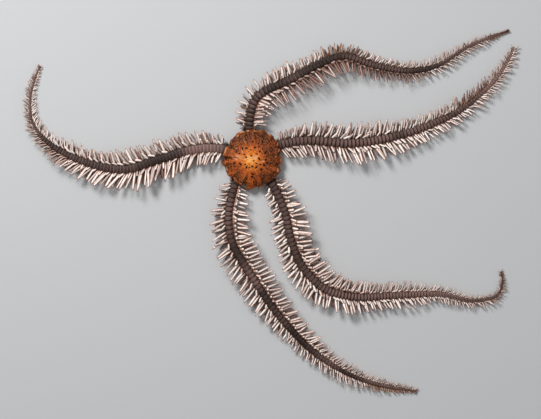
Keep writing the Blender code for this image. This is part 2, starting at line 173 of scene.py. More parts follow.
# Centre line of each arm from the disc outwards
ARM_ROUTES = {
    "west": ((-2.2, 1.2), (-7.0, 2.4), (-12.9, 2.3), (-21.1, 0.0), (-29.2, -2.3), (-37.6, -0.9),
             (-46.1, 3.3), (-50.1, 8.2), (-50.7, 13.8), (-49.5, 18.8), (-48.5, 21.2)),
    "north": ((-0.2, 4.0), (-0.4, 8.5), (1.3, 13.9), (8.6, 17.9), (15.0, 21.4), (21.0, 23.4),
              (28.1, 21.4), (35.6, 20.2), (42.0, 21.2), (49.8, 25.8), (58.7, 29.4)),
    "east": ((3.1, 2.1), (7.7, 3.6), (13.2, 4.3), (22.3, 3.6), (31.0, 4.8), (40.0, 7.5),
             (48.7, 11.9), (55.3, 17.7), (58.5, 22.3), (60.0, 25.7)),
    "southeast": ((2.2, -2.0), (5.2, -6.6), (7.7, -12.3), (9.1, -18.5), (11.6, -24.4),
                  (16.8, -29.6), (23.7, -31.5), (33.8, -31.1), (42.9, -30.9), (50.5, -32.4),
                  (56.0, -31.2), (57.3, -28.1), (56.9, -25.6)),
    "southwest": ((-2.2, -2.4), (-4.0, -6.6), (-5.2, -13.2), (-4.2, -19.4), (0.6, -27.4),
                  (6.3, -35.6), (13.6, -43.6), (22.3, -49.1), (30.3, -51.8), (37.7, -53.0)),
}

# How far spine tips stand from the centre line: share of the arm's length,
# reach on the right, reach on the left as one goes out along the arm
SPINE_REACH = {
    "west": ((0.0, 2.7, 3.1), (0.08, 3.4, 3.8), (0.15, 4.3, 4.4), (0.21, 4.8, 5.0),
             (0.30, 4.6, 5.4), (0.38, 4.8, 5.2), (0.50, 3.8, 4.4), (0.62, 3.6, 3.6),
             (0.72, 2.4, 2.5), (0.83, 1.7, 1.8), (0.92, 1.1, 1.5), (1.0, 0.9, 1.1)),
    "north": ((0.0, 3.4, 3.0), (0.08, 4.2, 3.6), (0.14, 5.0, 3.7), (0.24, 5.5, 4.3),
              (0.33, 5.2, 3.3), (0.40, 4.7, 3.5), (0.48, 3.7, 2.9), (0.63, 3.0, 2.3),
              (0.75, 2.0, 2.3), (0.88, 1.4, 1.3), (1.0, 0.5, 0.5)),
    "east": ((0.0, 3.4, 2.6), (0.08, 4.0, 3.3), (0.15, 4.3, 4.3), (0.22, 4.7, 4.8),
             (0.32, 5.2, 4.7), (0.41, 4.8, 4.5), (0.48, 4.2, 3.7), (0.56, 3.3, 3.2),
             (0.68, 2.8, 3.3), (0.81, 2.2, 2.6), (0.91, 1.8, 1.9), (1.0, 1.5, 1.3)),
    "southeast": ((0.0, 2.3, 3.1), (0.09, 3.1, 4.2), (0.18, 4.4, 5.3), (0.33, 4.6, 5.5),
                  (0.40, 4.7, 4.9), (0.49, 4.0, 4.1), (0.63, 3.2, 3.2), (0.75, 2.1, 2.2),
                  (0.87, 1.7, 1.4), (1.0, 0.9, 1.0)),
    "southwest": ((0.0, 3.0, 3.1), (0.08, 3.7, 3.8), (0.16, 4.6, 5.0), (0.25, 4.9, 5.2),
                  (0.385, 4.8, 4.9), (0.59, 3.1, 3.9), (0.75, 2.8, 2.6), (0.86, 2.0, 1.8),
                  (0.93, 1.3, 1.5), (1.0, 0.9, 1.3)),
}

# Lean of the spines towards the arm's tip in degrees, right and left
SPINE_LEAN = {
    "west": ((0.0, 12, 14), (0.3, 10, 24), (0.5, 22, 28), (0.7, 28, 30), (1.0, 38, 38)),
    "north": ((0.0, 4, 6), (0.24, 9, 10), (0.36, 20, 8), (0.5, 14, 14), (0.65, 28, 22),
              (1.0, 42, 40)),
    "east": ((0.0, 24, 10), (0.4, 22, 16), (0.6, 22, 25), (0.8, 28, 30), (1.0, 32, 34)),
    "southeast": ((0.0, 14, 4), (0.3, 18, 8), (0.5, 20, 14), (0.7, 26, 24), (1.0, 38, 36)),
    "southwest": ((0.0, 10, 4), (0.3, 14, 10), (0.5, 20, 16), (0.7, 26, 26), (1.0, 38, 36)),
}

# Dullness of the spines, from cream at 0 to pinkish brown at 1, partly painted shade where
# they turn from the light: share, right, left
SPINE_DULL = {
    "west": ((0.0, 0.15, 0.15), (0.14, 0.15, 0.35), (0.27, 0.15, 0.35), (0.36, 0.15, 0.15),
             (0.5, 0.1, 0.2), (0.64, 0.05, 0.25), (0.75, 0.0, 0.45), (0.9, 0.15, 0.45),
             (1.0, 0.4, 0.5)),
    "north": ((0.0, 0.20, 0.15), (0.14, 0.25, 0.15), (0.24, 0.60, 0.10), (0.36, 0.80, 0.05),
              (0.40, 0.90, 0.3), (0.48, 0.95, 0.3), (0.54, 0.95, 0.05), (0.64, 0.85, 0.1),
              (0.72, 0.45, 0.2), (1.0, 0.7, 0.6)),
    "east": ((0.0, 0.40, 0.25), (0.2, 0.45, 0.15), (0.3, 0.15, 0.1), (0.6, 0.10, 0.1),
             (0.75, 0.3, 0.4), (1.0, 0.35, 0.3)),
    "southeast": ((0.0, 0.15, 0.05), (0.2, 0.15, 0.0), (0.45, 0.25, 0.1), (0.6, 0.2, 0.15),
                  (0.8, 0.3, 0.1), (1.0, 0.5, 0.45)),
    "southwest": ((0.0, 0.15, 0.05), (0.3, 0.2, 0.1), (0.6, 0.25, 0.1), (0.85, 0.35, 0.25),
                  (1.0, 0.45, 0.4)),
}

# Stout upper spines, right then left: share of the arm's length, rise and lean in
# degrees, share of the reach, and thickness beside the others
STUBS = {
    "west": (((0.0, 30, 48, 0.38, 1.30), (1.0, 30, 48, 0.38, 1.30)),
             ((0.0, 34, 46, 0.32, 1.12), (1.0, 34, 46, 0.32, 1.12))),
    "north": (((0.0, 34, 14, 0.62, 1.25), (0.13, 34, 20, 0.60, 1.25), (0.22, 22, 66, 0.30, 1.15),
               (0.30, 20, 72, 0.22, 1.05), (1.0, 20, 72, 0.22, 1.05)),
              ((0.0, 40, 34, 0.36, 1.10), (1.0, 40, 34, 0.36, 1.10))),
    "east": (((0.0, 34, 40, 0.38, 1.12), (1.0, 34, 40, 0.38, 1.12)),
             ((0.0, 30, 44, 0.42, 1.05), (1.0, 30, 44, 0.42, 1.05))),
    "southeast": (((0.0, 34, 46, 0.36, 1.25), (1.0, 34, 46, 0.36, 1.25)),
                  ((0.0, 40, 20, 0.44, 1.25), (0.15, 46, 30, 0.36, 1.25), (0.3, 50, 40, 0.28, 1.25),
                   (1.0, 50, 40, 0.28, 1.25))),
    "southwest": (((0.0, 38, 44, 0.36, 1.15), (1.0, 38, 44, 0.36, 1.15)),
                  ((0.0, 56, 36, 0.30, 1.45), (1.0, 56, 36, 0.30, 1.45))),
}

# Share of every second segment's flanks that bear a stout upper spine too: share of the
# arm's length, right and left
EXTRA_STUBS = {
    "west": ((0.0, 0.1, 0.1), (0.6, 0.1, 0.1), (0.75, 0.9, 0.1), (1.0, 0.9, 0.1)),
    "north": ((0.0, 1.0, 0.1), (0.17, 0.9, 0.1), (0.24, 0.0, 0.1), (1.0, 0.3, 0.3)),
    "east": ((0.0, 0.1, 0.2), (0.5, 0.1, 0.2), (0.7, 0.7, 0.3), (1.0, 0.7, 0.3)),
    "southeast": ((0.0, 0.2, 1.0), (0.3, 0.2, 1.0), (0.4, 0.1, 0.2), (1.0, 0.2, 0.2)),
    "southwest": ((0.0, 0.2, 1.0), (0.5, 0.1, 0.9), (1.0, 0.2, 0.7)),
}

# Thickness of each arm's spines beside the usual on every first and every second
# segment, right then left
STOUTNESS = {
    "west": ((1.45, 0.62), (1.38, 0.86)),
    "north": ((0.86, 0.72), (1.34, 0.76)),
    "east": ((1.22, 0.86), (1.22, 0.86)),
    "southeast": ((1.24, 1.05), (1.18, 1.05)),
    "southwest": ((1.22, 1.02), (1.14, 1.02)),
}

# Dark strip of back plates: share, width, how far its middle lies to the right
BACK_STRIP = {
    "west": ((0.0, 2.1, -0.1), (0.2, 2.1, -0.15), (0.5, 2.1, -0.15), (0.63, 1.6, 0.0),
             (0.71, 1.0, -0.1), (0.8, 0.6, -0.1), (1.0, 0.35, 0.0)),
    "north": ((0.0, 2.0, -0.15), (0.15, 2.05, -0.1), (0.23, 2.1, -0.2), (0.33, 2.0, 0.15),
              (0.5, 1.6, 0.0), (0.66, 1.30, -0.05), (0.75, 0.9, 0.0), (0.85, 0.7, -0.1),
              (1.0, 0.4, 0.0)),
    "east": ((0.0, 2.0, -0.1), (0.16, 2.2, -0.05), (0.34, 2.25, -0.05), (0.48, 1.9, -0.1),
             (0.58, 1.7, -0.05), (0.68, 1.4, -0.1), (0.8, 1.05, -0.15), (0.9, 0.85, -0.2),
             (1.0, 0.65, -0.15)),
    "southeast": ((0.0, 2.1, -0.1), (0.17, 1.9, 0.05), (0.35, 2.1, 0.1), (0.43, 2.0, 0.15),
                  (0.5, 1.9, 0.0), (0.6, 1.75, 0.0), (0.72, 1.4, 0.0), (0.81, 1.0, 0.0),
                  (0.9, 0.7, -0.1), (1.0, 0.3, 0.0)),
    "southwest": ((0.0, 1.9, 0.15), (0.2, 1.9, 0.15), (0.3, 2.0, 0.15), (0.5, 1.8, 0.15),
                  (0.58, 1.6, -0.1), (0.66, 1.4, -0.1), (0.74, 1.15, 0.25), (0.88, 1.12, 0.2),
                  (1.0, 0.62, 0.1)),
}

# Length of the arm's segments: share of the arm's length, length
SEGMENT_LENGTH = {
    "west": ((0.0, 0.82), (0.35, 0.78), (0.7, 0.70), (1.0, 0.5)),
    "north": ((0.0, 1.0), (0.35, 0.86), (0.7, 0.70), (1.0, 0.45)),
    "east": ((0.0, 0.80), (0.2, 0.93), (0.45, 0.84), (0.7, 0.74), (1.0, 0.55)),
    "southeast": ((0.0, 1.08), (0.3, 1.0), (0.45, 0.76), (0.7, 0.70), (1.0, 0.5)),
    "southwest": ((0.0, 1.08), (0.35, 1.0), (0.7, 0.76), (1.0, 0.5)),
}

# How light and mauve the back plates are, from 0 to 1, and how dark the painted shade
# in their grooves
PLATE_TONE = {
    "west": ((0.0, 0.75, 0.5), (0.16, 0.95, 0.4), (0.23, -0.05, 0.35), (0.3, -0.35, 0.3),
             (0.4, 0.15, 0.3), (0.6, 0.08, 0.3), (0.7, -0.1, 0.3), (0.77, 0.4, 0.3),
             (0.87, 0.8, 0.3), (1.0, 0.5, 0.3)),
    "north": ((0.0, 0.15, 0.9), (0.15, 0.25, 0.8), (0.2, -0.15, 0.8), (0.26, 0.20, 0.7),
              (0.30, -0.15, 0.7), (0.36, -0.35, 0.8), (0.42, 0.0, 0.8), (0.47, 0.55, 0.85),
              (0.6, 0.40, 0.8), (0.71, -0.25, 0.6), (0.8, 0.45, 0.5), (0.92, 0.85, 0.4),
              (1.0, 0.0, 0.3)),
    "east": ((0.0, 0.30, 0.9), (0.09, 0.70, 0.9), (0.3, 0.80, 1.0), (0.41, 1.0, 0.9),
             (0.46, 0.30, 0.8), (0.52, 0.75, 0.85), (0.66, 0.40, 0.75), (0.76, 0.3, 0.6),
             (0.86, 1.2, 0.6), (1.0, 1.1, 0.5)),
    "southeast": ((0.0, 0.28, 0.9), (0.17, 0.50, 0.9), (0.27, 0.18, 0.85), (0.37, 0.42, 0.8),
                  (0.47, 1.3, 0.95), (0.55, 1.0, 0.9), (0.7, 1.25, 0.75), (0.86, 0.5, 0.5),
                  (1.0, 0.2, 0.3)),
    "southwest": ((0.0, 0.12, 0.9), (0.16, 0.75, 0.9), (0.26, -0.05, 0.8), (0.36, 0.85, 0.8),
                  (0.42, 0.05, 0.9), (0.5, 0.38, 0.9), (0.57, -0.15, 0.85), (0.71, 0.55, 0.75),
                  (0.77, -0.1, 0.5), (0.86, 0.55, 0.5), (0.92, 0.7, 0.5), (1.0, 0.7, 0.4)),
}

# How dark the middle line of the outermost plates is, from 0 to 1
MIDDLE_LINE = {"west": 1.0, "north": 1.0, "east": 0.1, "southeast": 0.6, "southwest": 0.2}

# How light the side plates beside the strip are, from 0 to 1, right and left; the dark
# values stand partly for painted shade between the strip and the spines
FLANK_TONE = {
    "west": (0.15, 0.15), "north": (0.25, 0.25), "east": (0.3, 0.2), "southeast": (0.25, 0.55),
    "southwest": (0.3, 0.8),
}

# How far the arm is rolled about its own line, in degrees; plus tips it to the right
ARM_ROLL = {
    "west": ((0.0, 0), (0.45, 0), (0.7, 14), (1.0, 10)),
    "north": ((0.0, -8), (0.15, -18), (0.4, -20), (0.5, -4), (0.7, 0), (1.0, 0)),
    "east": ((0.0, 4), (0.3, 0), (0.6, 0), (1.0, 0)),
    "southeast": ((0.0, 8), (0.3, 12), (0.5, 0), (1.0, 0)),
    "southwest": ((0.0, 4), (0.25, 8), (0.45, 16), (0.7, 8), (1.0, 4)),
}

# Stretches where the spines are tan rather than cream: side, from, to, strength
TAN_STRETCHES = {
    "west": ((-1, 0.62, 0.70, 0.6),),
    "north": ((-1, 0.37, 0.48, 1.0), (1, 0.54, 0.72, 0.6), (0, 0.93, 1.0, 1.0)),
    "east": ((-1, 0.70, 0.83, 1.0),),
    "southeast": ((1, 0.9, 1.0, 0.6),),
    "southwest": ((1, 0.84, 1.0, 1.0),),
}

# Arm body along its length: share, width, height
ARM_BODY = (
    (0.0, 2.7, 1.72), (0.4, 2.6, 1.66), (0.6, 2.15, 1.38), (0.8, 1.4, 0.95), (1.0, 0.56, 0.46),
)

# Distances from the middle at which the arms' skin, plates and spines begin
ARM_SKIN_START = 3.2
PLATE_START = 3.5
SPINE_START = 7.2

# The arm's widest level as a share of its height, and rings and corners of its skin
WAIST = 0.44
SKIN_RING = 0.2
SKIN_CORNERS = 20

# How far each arm's line is drawn on past both ends, how far to either side its heading
# is read, and the least length left for its last segment
LINE_MARGIN = 4
HEADING_REACH = 0.6
LAST_SEGMENT = 0.35

# Rows of spines up each flank, from the back down: which segments bear it, place
# along the segment, rise, root side and root height as shares of the half width and
# the height, share of the reach, thickness, lean on top of the usual, dullness, which on
# the lower rows is painted shade. The first row takes its rise and its share from STUBS
SPINE_ROWS = (
    ("even", 0.15, None, 0.82, 0.84, None, 0.50, 0, 0.00),
    ("even", 0.80, 22, 0.86, 0.74, 1.00, 0.50, 0, 0.00),
    ("odd", 0.45, 27, 0.84, 0.76, 0.96, 0.48, 3, 0.04),
    ("all", 0.66, 10, 0.98, 0.50, 0.76, 0.33, -3, 0.75),
    ("all", 0.44, 1, 0.98, 0.32, 0.60, 0.29, 10, 1.00),
    ("all", 0.50, -6, 0.80, 0.14, 0.26, 0.28, 12, 0.80),
)
STUB_ROW = 0

# Rows with a larger share reach to the outline, the rest only part of the way. A long
# spine counts at least this share of its length as lying outwards
LONG_SHARE = 0.7
LEAST_SPREAD = 0.66

# How far a spine's root is sunk, and its flattening, lowest level and number of sides
SPINE_SINK = 0.22
SPINE_FLAT = 0.86
SPINE_FLOOR = 0.012
SPINE_SIDES = 7

# One spine from root to tip: share of its length, share of its full thickness
SPINE_PROFILE = (
    (0.0, 0.66), (0.12, 0.84), (0.32, 0.97), (0.58, 1.0), (0.82, 0.90), (0.94, 0.70), (0.99, 0.40),
)

# Each spine's patch on the bake map, and the rows into which an arm's length is folded there
BAKE_PATCH = 0.003
BAKE_ROWS = 8

# Lamps: name, place and size in metres; then the middle of the view and the floor's size
LAMPS = (
    ("key", (-0.16, 0.22, 0.30), 0.13),
    ("fill", (0.28, -0.16, 0.26), 0.40),
    ("top", (0.02, 0.0, 0.45), 0.50),
)
VIEW_MIDDLE = Vector((0.0042, -0.0115, 0.0))
FLOOR_SIZE = 6.0


# Reading tables and lines


def read_table(table, x):
    """Smoothly read rows of (position, value, ...) at x, a number or an array."""
    x = np.asarray(x, float)
    places = np.array([row[0] for row in table], float)
    rows = np.array([row[1:] for row in table], float)
    index = np.clip(np.searchsorted(places, x) - 1, 0, len(places) - 2)
    t = np.clip((x - places[index]) / (places[index + 1] - places[index]), 0, 1)
    t = (t * t * (3 - 2 * t))[..., None]
    return rows[index] * (1 - t) + rows[index + 1] * t


def read_one(table, x):
    """The first value of a table at one place."""
    return float(read_table(table, x)[0])


def read_side(table, x, hand):
    """The right or the left value of a table of (position, right, left) rows."""
    return read_table(table, x)[0 if hand > 0 else 1]


def smooth(low, high, x):
    """Smooth step from 0 at low to 1 at high."""
    t = np.clip((x - low) / (high - low), 0, 1)
    return t * t * (3 - 2 * t)


def ripples(places, seed, octaves, size):
    """Smooth seeded ripples through any number of directions, about -1 to 1."""
    draw = random.Random(seed)
    total = np.zeros(len(places))
    weight = 0.0
    for octave in range(octaves):
        for _ in range(6):
            way = np.array([draw.gauss(0, 1) for _ in range(places.shape[1])])
            waves = 2 * math.pi / (size / 1.9 ** octave) * draw.uniform(0.7, 1.3)
            way *= waves / np.linalg.norm(way)
            total += np.sin(places @ way + draw.uniform(0, 6.3)) * 0.6 ** octave
        weight += 2.4 * 0.6 ** octave
    return total / weight


class ArmLine:
    """Centre line of one arm, read by distance along it."""

    def __init__(self, points):
        curve = np.array(self.spline(points))
        first, last = curve[0] - curve[1], curve[-1] - curve[-2]
        start = curve[0] + first / np.linalg.norm(first) * LINE_MARGIN
        end = curve[-1] + last / np.linalg.norm(last) * LINE_MARGIN
        self.curve = np.vstack([start, curve, end])
        steps = np.linalg.norm(np.diff(self.curve, axis=0), axis=1)
        self.marks = np.concatenate([[0], np.cumsum(steps)]) - LINE_MARGIN
        self.length = self.marks[-1] - LINE_MARGIN

    @staticmethod
    def spline(points, steps=16):
        """Points of a smooth curve through the given ones."""
        pts = [np.array(p, float) for p in points]
        pts = [pts[0] * 2 - pts[1]] + pts + [pts[-1] * 2 - pts[-2]]
        curve = []
        for p0, p1, p2, p3 in zip(pts, pts[1:], pts[2:], pts[3:]):
            t1 = np.linalg.norm(p1 - p0) ** 0.5
            t2 = t1 + np.linalg.norm(p2 - p1) ** 0.5
            t3 = t2 + np.linalg.norm(p3 - p2) ** 0.5
            for step in range(steps):
                t = t1 + (t2 - t1) * step / steps
                a1 = p0 * ((t1 - t) / t1) + p1 * (t / t1)
                a2 = p1 * ((t2 - t) / (t2 - t1)) + p2 * ((t - t1) / (t2 - t1))
                a3 = p2 * ((t3 - t) / (t3 - t2)) + p3 * ((t - t2) / (t3 - t2))
                b1 = a1 * ((t2 - t) / t2) + a2 * (t / t2)
                b2 = a2 * ((t3 - t) / (t3 - t1)) + a3 * ((t - t1) / (t3 - t1))
                curve.append(b1 * ((t2 - t) / (t2 - t1)) + b2 * ((t - t1) / (t2 - t1)))
        curve.append(pts[-2])
        return curve

    def at(self, s):
        """Points on the line at s, as an array of x, y."""
        s = np.asarray(s, float)
        return np.stack([np.interp(s, self.marks, self.curve[:, axis]) for axis in (0, 1)], axis=-1)

    def heading(self, s):
        """Unit vectors along the line at s."""
        s = np.asarray(s, float)
        way = self.at(s + HEADING_REACH) - self.at(s - HEADING_REACH)
        return way / np.linalg.norm(way, axis=-1, keepdims=True)

    def at_radius(self, radius):
        """Distance along the line at which it first passes a radius."""
        s = np.arange(-LINE_MARGIN, 20, 0.05)
        return float(s[np.argmax(np.linalg.norm(self.at(s), axis=-1) >= radius)])

    def lay(self, s, side, up):
        """World positions for distance along, offset to the right and height."""
        centre = self.at(s)
        way = self.heading(s)
        x = centre[..., 0] + way[..., 1] * side
        y = centre[..., 1] - way[..., 0] * side
        return np.stack([x, y, np.broadcast_to(up, x.shape)], axis=-1)


ARM_LINES = {name: ArmLine(points) for name, points in ARM_ROUTES.items()}


def segments_of(name):
    """Distances at which the segments of an arm begin, from the mouth to the tip."""
    line = ARM_LINES[name]
    marks = [line.at_radius(PLATE_START)]
    while marks[-1] < line.length - LAST_SEGMENT:
        marks.append(marks[-1] + read_one(SEGMENT_LENGTH[name], marks[-1] / line.length))
    return marks


def body_at(name, u):
    """Width and height of an arm's body at a share of its length."""
    width, height = np.moveaxis(read_table(ARM_BODY, u), -1, 0)
    return np.minimum(width, 1.1 * read_table(BACK_STRIP[name], u)[..., 0] + 0.42), height


def back_height(width, height, side):
    """Height of the arm's back at an offset from its middle."""
    share = np.clip(np.abs(side) / (0.5 * width), 0, 1)
    return WAIST * height + (1 - WAIST) * height * (1 - share ** 2.6) ** 0.5


def roll_section(side, up, roll, height):
    """Turn a place in the arm's cross section about its middle; plus is to the right."""
    a = np.radians(roll)
    high = up - 0.5 * height
    return side * np.cos(a) + high * np.sin(a), 0.5 * height + high * np.cos(a) - side * np.sin(a)


# Making meshes


def fresh():
    """Leave edit mode and select nothing."""
    if bpy.context.object and bpy.context.object.mode != "OBJECT":
        bpy.ops.object.mode_set(mode="OBJECT")
    bpy.ops.object.select_all(action="DESELECT")


def take_template(obj):
    """Read a modelled shape's corners and faces, then remove it."""
    fresh()
    mesh = obj.data
    verts = np.array([tuple(v.co) for v in mesh.vertices])
    faces = [tuple(p.vertices) for p in mesh.polygons]
    bpy.data.objects.remove(obj, do_unlink=True)
    bpy.data.meshes.remove(mesh)
    return verts, faces


def turned(faces):
    """The faces of a mirrored copy, turned round so that they still look outwards."""
    return [face[::-1] for face in faces]


class Gathering:
    """Copies of modelled shapes, joined into one mesh with named values on its points."""

    def __init__(self, *keys):
        self.verts = []
        self.faces = []
        self.values = {key: [] for key in keys}
        self.count = 0

    def add(self, verts, faces, **values):
        self.faces += [tuple(i + self.count for i in face) for face in faces]
        self.verts.append(verts)
        self.count += len(verts)
        for key, data in self.values.items():
            data.append(np.broadcast_to(np.asarray(values.get(key, 0.0), float), (len(verts),)))

    def build(self, name, smooth_angle=None):
        mesh = bpy.data.meshes.new(name)
        mesh.from_pydata([tuple(v) for v in np.vstack(self.verts) * MM], [], self.faces)
        for key, data in self.values.items():
            layer = mesh.attributes.new(key, "FLOAT", "POINT")
            layer.data.foreach_set("value", np.concatenate(data).astype(np.float32))
        mesh.update()
        obj = bpy.data.objects.new(name, mesh)
        bpy.context.scene.collection.objects.link(obj)
        fresh()
        bpy.context.view_layer.objects.active = obj
        obj.select_set(True)
        if smooth_angle is None:
            bpy.ops.object.shade_smooth()
        else:
            bpy.ops.object.shade_smooth_by_angle(angle=math.radians(smooth_angle))
        fresh()
        return obj


def wrapped_grid(name, along, around, shape, values):
    """A grid primitive closed into a tube or a ball by a function of its two shares."""
    fresh()
    bpy.ops.mesh.primitive_grid_add(x_subdivisions=along, y_subdivisions=around, size=1)
    obj = bpy.context.object
    obj.name = obj.data.name = name
    mesh = obj.data
    flat = np.empty(len(mesh.vertices) * 3)
    mesh.vertices.foreach_get("co", flat)
    flat = flat.reshape(-1, 3) + 0.5
    places = shape(flat[:, 0], flat[:, 1])
    mesh.vertices.foreach_set("co", (places * MM).ravel())
    for key, data in values(flat[:, 0], flat[:, 1], places).items():
        layer = mesh.attributes.new(key, "FLOAT", "POINT")
        layer.data.foreach_set("value", np.asarray(data, np.float32))
    mesh.update()
    while mesh.uv_layers:
        mesh.uv_layers.remove(mesh.uv_layers[0])
    obj.select_set(True)
    bpy.context.view_layer.objects.active = obj
    bpy.ops.object.mode_set(mode="EDIT")
    bpy.ops.mesh.select_all(action="SELECT")
    bpy.ops.mesh.remove_doubles(threshold=1e-7)
    bpy.ops.mesh.normals_make_consistent(inside=False)
    bpy.ops.object.mode_set(mode="OBJECT")
    bpy.ops.object.shade_smooth()
    close_holes(obj)
    fresh()
    return obj


def close_holes(obj):
    """Fill any open loop left at an end and turn the faces outwards."""
    work = bmesh.new()
    work.from_mesh(obj.data)
    open_edges = [e for e in work.edges if e.is_boundary]
    if open_edges:
        bmesh.ops.holes_fill(work, edges=open_edges, sides=0)
    bmesh.ops.recalc_face_normals(work, faces=work.faces[:])
    work.to_mesh(obj.data)
    work.free()


def dress(obj, material, nodes):
    """Give a finished piece its material, its body and the nodes that it stands for."""
    obj.data.materials.clear()
    obj.data.materials.append(material)
    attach(obj, "root")
    if nodes:
        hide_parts(*nodes)


def arm_nodes(name):
    """Names of the frame's nodes that make up one arm."""
    return [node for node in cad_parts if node.startswith("arm_" + name + "_")]


# Materials


def linear(colour):
    """0-255 screen colour to the linear colour that a shader takes."""
    out = []
    for part in colour:
        c = part / 255
        out.append(c / 12.92 if c <= 0.04045 else ((c + 0.055) / 1.055) ** 2.4)
    return (*out, 1.0)


class Nodes:
    """A short way to add and join the nodes of a material or a group."""

    def __init__(self, tree):
        self.tree = tree

    def add(self, kind, **settings):
        node = self.tree.nodes.new(kind)
        for key, value in settings.items():
            setattr(node, key, value)
        return node

    def join(self, source, target):
        self.tree.links.new(source, target)

    def feed(self, given, socket):
        if isinstance(given, bpy.types.NodeSocket):
            self.join(given, socket)
        else:
            socket.default_value = given

    def value(self, name):
        return self.add("ShaderNodeAttribute", attribute_name=name).outputs["Fac"]

    def mix(self, share, first, second):
        node = self.add("ShaderNodeMix", data_type="RGBA")
        self.feed(share, node.inputs["Factor"])
        self.feed(first, node.inputs[6])
        self.feed(second, node.inputs[7])
        return node.outputs[2]

    def math(self, operation, first, second):
        node = self.add("ShaderNodeMath", operation=operation)
        self.feed(first, node.inputs[0])
        self.feed(second, node.inputs[1])
        return node.outputs[0]

    def times(self, first, second):
        return self.math("MULTIPLY", first, second)

    def ramp(self, share, stops):
        node = self.add("ShaderNodeValToRGB")
        self.join(share, node.inputs[0])
        ramp = node.color_ramp
        while len(ramp.elements) < len(stops):
            ramp.elements.new(0.5)
        for element, (place, colour) in zip(ramp.elements, stops):
            element.position = place
            element.color = colour
        return node.outputs[0]

    def step(self, share, low, high):
        node = self.add("ShaderNodeMapRange", interpolation_type="SMOOTHSTEP")
        self.join(share, node.inputs["Value"])
        node.inputs["From Min"].default_value = low
        node.inputs["From Max"].default_value = high
        return node.outputs["Result"]

    def stain(self, colour, field, low, high, strength, other):
        """Lay another colour, a socket's or a 0-255 screen colour, where the field is high."""
        if not isinstance(other, bpy.types.NodeSocket):
            other = linear(other)
        return self.mix(self.times(self.step(field, low, high), strength), colour, other)

    def jitter(self, value, noise, amount):
        """A value moved up and down by a noise about its middle."""
        return self.math("ADD", value, self.times(self.math("SUBTRACT", noise, 0.5), amount))


def mottle_group():
    """Soft blotches, small specks and the height of a fine grain, on object coordinates."""
    name = "Mottle and Grain"
    if name in bpy.data.node_groups:
        return bpy.data.node_groups[name]
    group = bpy.data.node_groups.new(name, "ShaderNodeTree")
    for label in ("Blotch", "Speck", "Grain"):
        group.interface.new_socket(label + " Scale", in_out="INPUT", socket_type="NodeSocketFloat")
        group.interface.new_socket(label, in_out="OUTPUT", socket_type="NodeSocketFloat")
    nodes = Nodes(group)
    given = nodes.add("NodeGroupInput")
    out = nodes.add("NodeGroupOutput")
    place = nodes.add("ShaderNodeTexCoord").outputs["Object"]
    for label, detail, rough in (("Blotch", 3.0, 0.6), ("Speck", 2.0, 0.5), ("Grain", 4.0, 0.65)):
        noise = nodes.add("ShaderNodeTexNoise")
        noise.inputs["Detail"].default_value = detail
        noise.inputs["Roughness"].default_value = rough
        nodes.join(place, noise.inputs["Vector"])
        nodes.join(given.outputs[label + " Scale"], noise.inputs["Scale"])
        nodes.join(noise.outputs["Fac"], out.inputs[label])
    return group


def start_material(name, blotch, speck, grain):
    """A new material with its shader and the mottling group's outputs."""
    material = bpy.data.materials.new(name)
    material.use_nodes = True
    nodes = Nodes(material.node_tree)
    shader = material.node_tree.nodes["Principled BSDF"]
    group = nodes.add("ShaderNodeGroup", node_tree=mottle_group())
    for label, scale in (("Blotch", blotch), ("Speck", speck), ("Grain", grain)):
        group.inputs[label + " Scale"].default_value = scale
    return material, nodes, shader, group.outputs


def opaque(colour):
    """A setting's colour as a shader takes it."""
    return (*colour, 1.0)


def add_bump(nodes, shader, height, distance, strength):
    """Raise the surface by a height in metres."""
    bump = nodes.add("ShaderNodeBump")
    bump.inputs["Strength"].default_value = strength
    bump.inputs["Distance"].default_value = distance
    nodes.join(height, bump.inputs["Height"])
    nodes.join(bump.outputs["Normal"], shader.inputs["Normal"])


def add_roughness(nodes, shader, noise, low, high):
    """Mottle the roughness between two values."""
    grey = nodes.ramp(noise, ((0.3, (low, low, low, 1)), (0.7, (high, high, high, 1))))
    nodes.join(grey, shader.inputs["Roughness"])


def add_finish(nodes, shader, mottle, low, high, distance):
    """Mottled roughness, and a bump from the specks and the grain."""
    add_roughness(nodes, shader, mottle["Grain"], low, high)
    add_bump(nodes, shader, nodes.math("ADD", mottle["Speck"], mottle["Grain"]), distance, 0.8)


def disc_material(settings):
    """Orange-brown granular skin, darker to the rim, with blackish dots and pale flecks;
    painted shade and light on its scallops, granules and top, painted highlights on its rim.
    """
    material, nodes, shader, mottle = start_material("disc skin", 850.0, 4600.0, 9000.0)
    share = nodes.jitter(nodes.value("rim"), mottle["Blotch"], 0.42)
    colour = nodes.ramp(share, (
        (0.03, opaque(settings.centre_colour)), (0.24, linear((220, 122, 42))),
        (0.46, linear((166, 76, 24))), (0.74, linear((112, 46, 16))),
        (1.0, opaque(settings.rim_colour)),
    ))
    fields = {key: nodes.jitter(nodes.value(key), mottle[noise], amount)
              for key, noise, amount in DISC_FIELDS}
    fields["granule"] = nodes.value("granule")
    fields["speck"] = mottle["Speck"]
    for key, low, high, strength, other in DISC_STAINS:
        colour = nodes.stain(colour, fields[key], low, high, strength, other)
    colour = nodes.mix(nodes.times(nodes.value("under"), 0.75), colour, linear((170, 122, 88)))
    nodes.join(colour, shader.inputs["Base Color"])
    add_roughness(nodes, shader, mottle["Grain"], 0.46, 0.70)
    shader.inputs["Specular IOR Level"].default_value = 0.18
    height = nodes.math("ADD", nodes.times(mottle["Speck"], 0.6), nodes.times(mottle["Grain"], 0.5))
    add_bump(nodes, shader, height, 0.00016, 0.9)
    return material


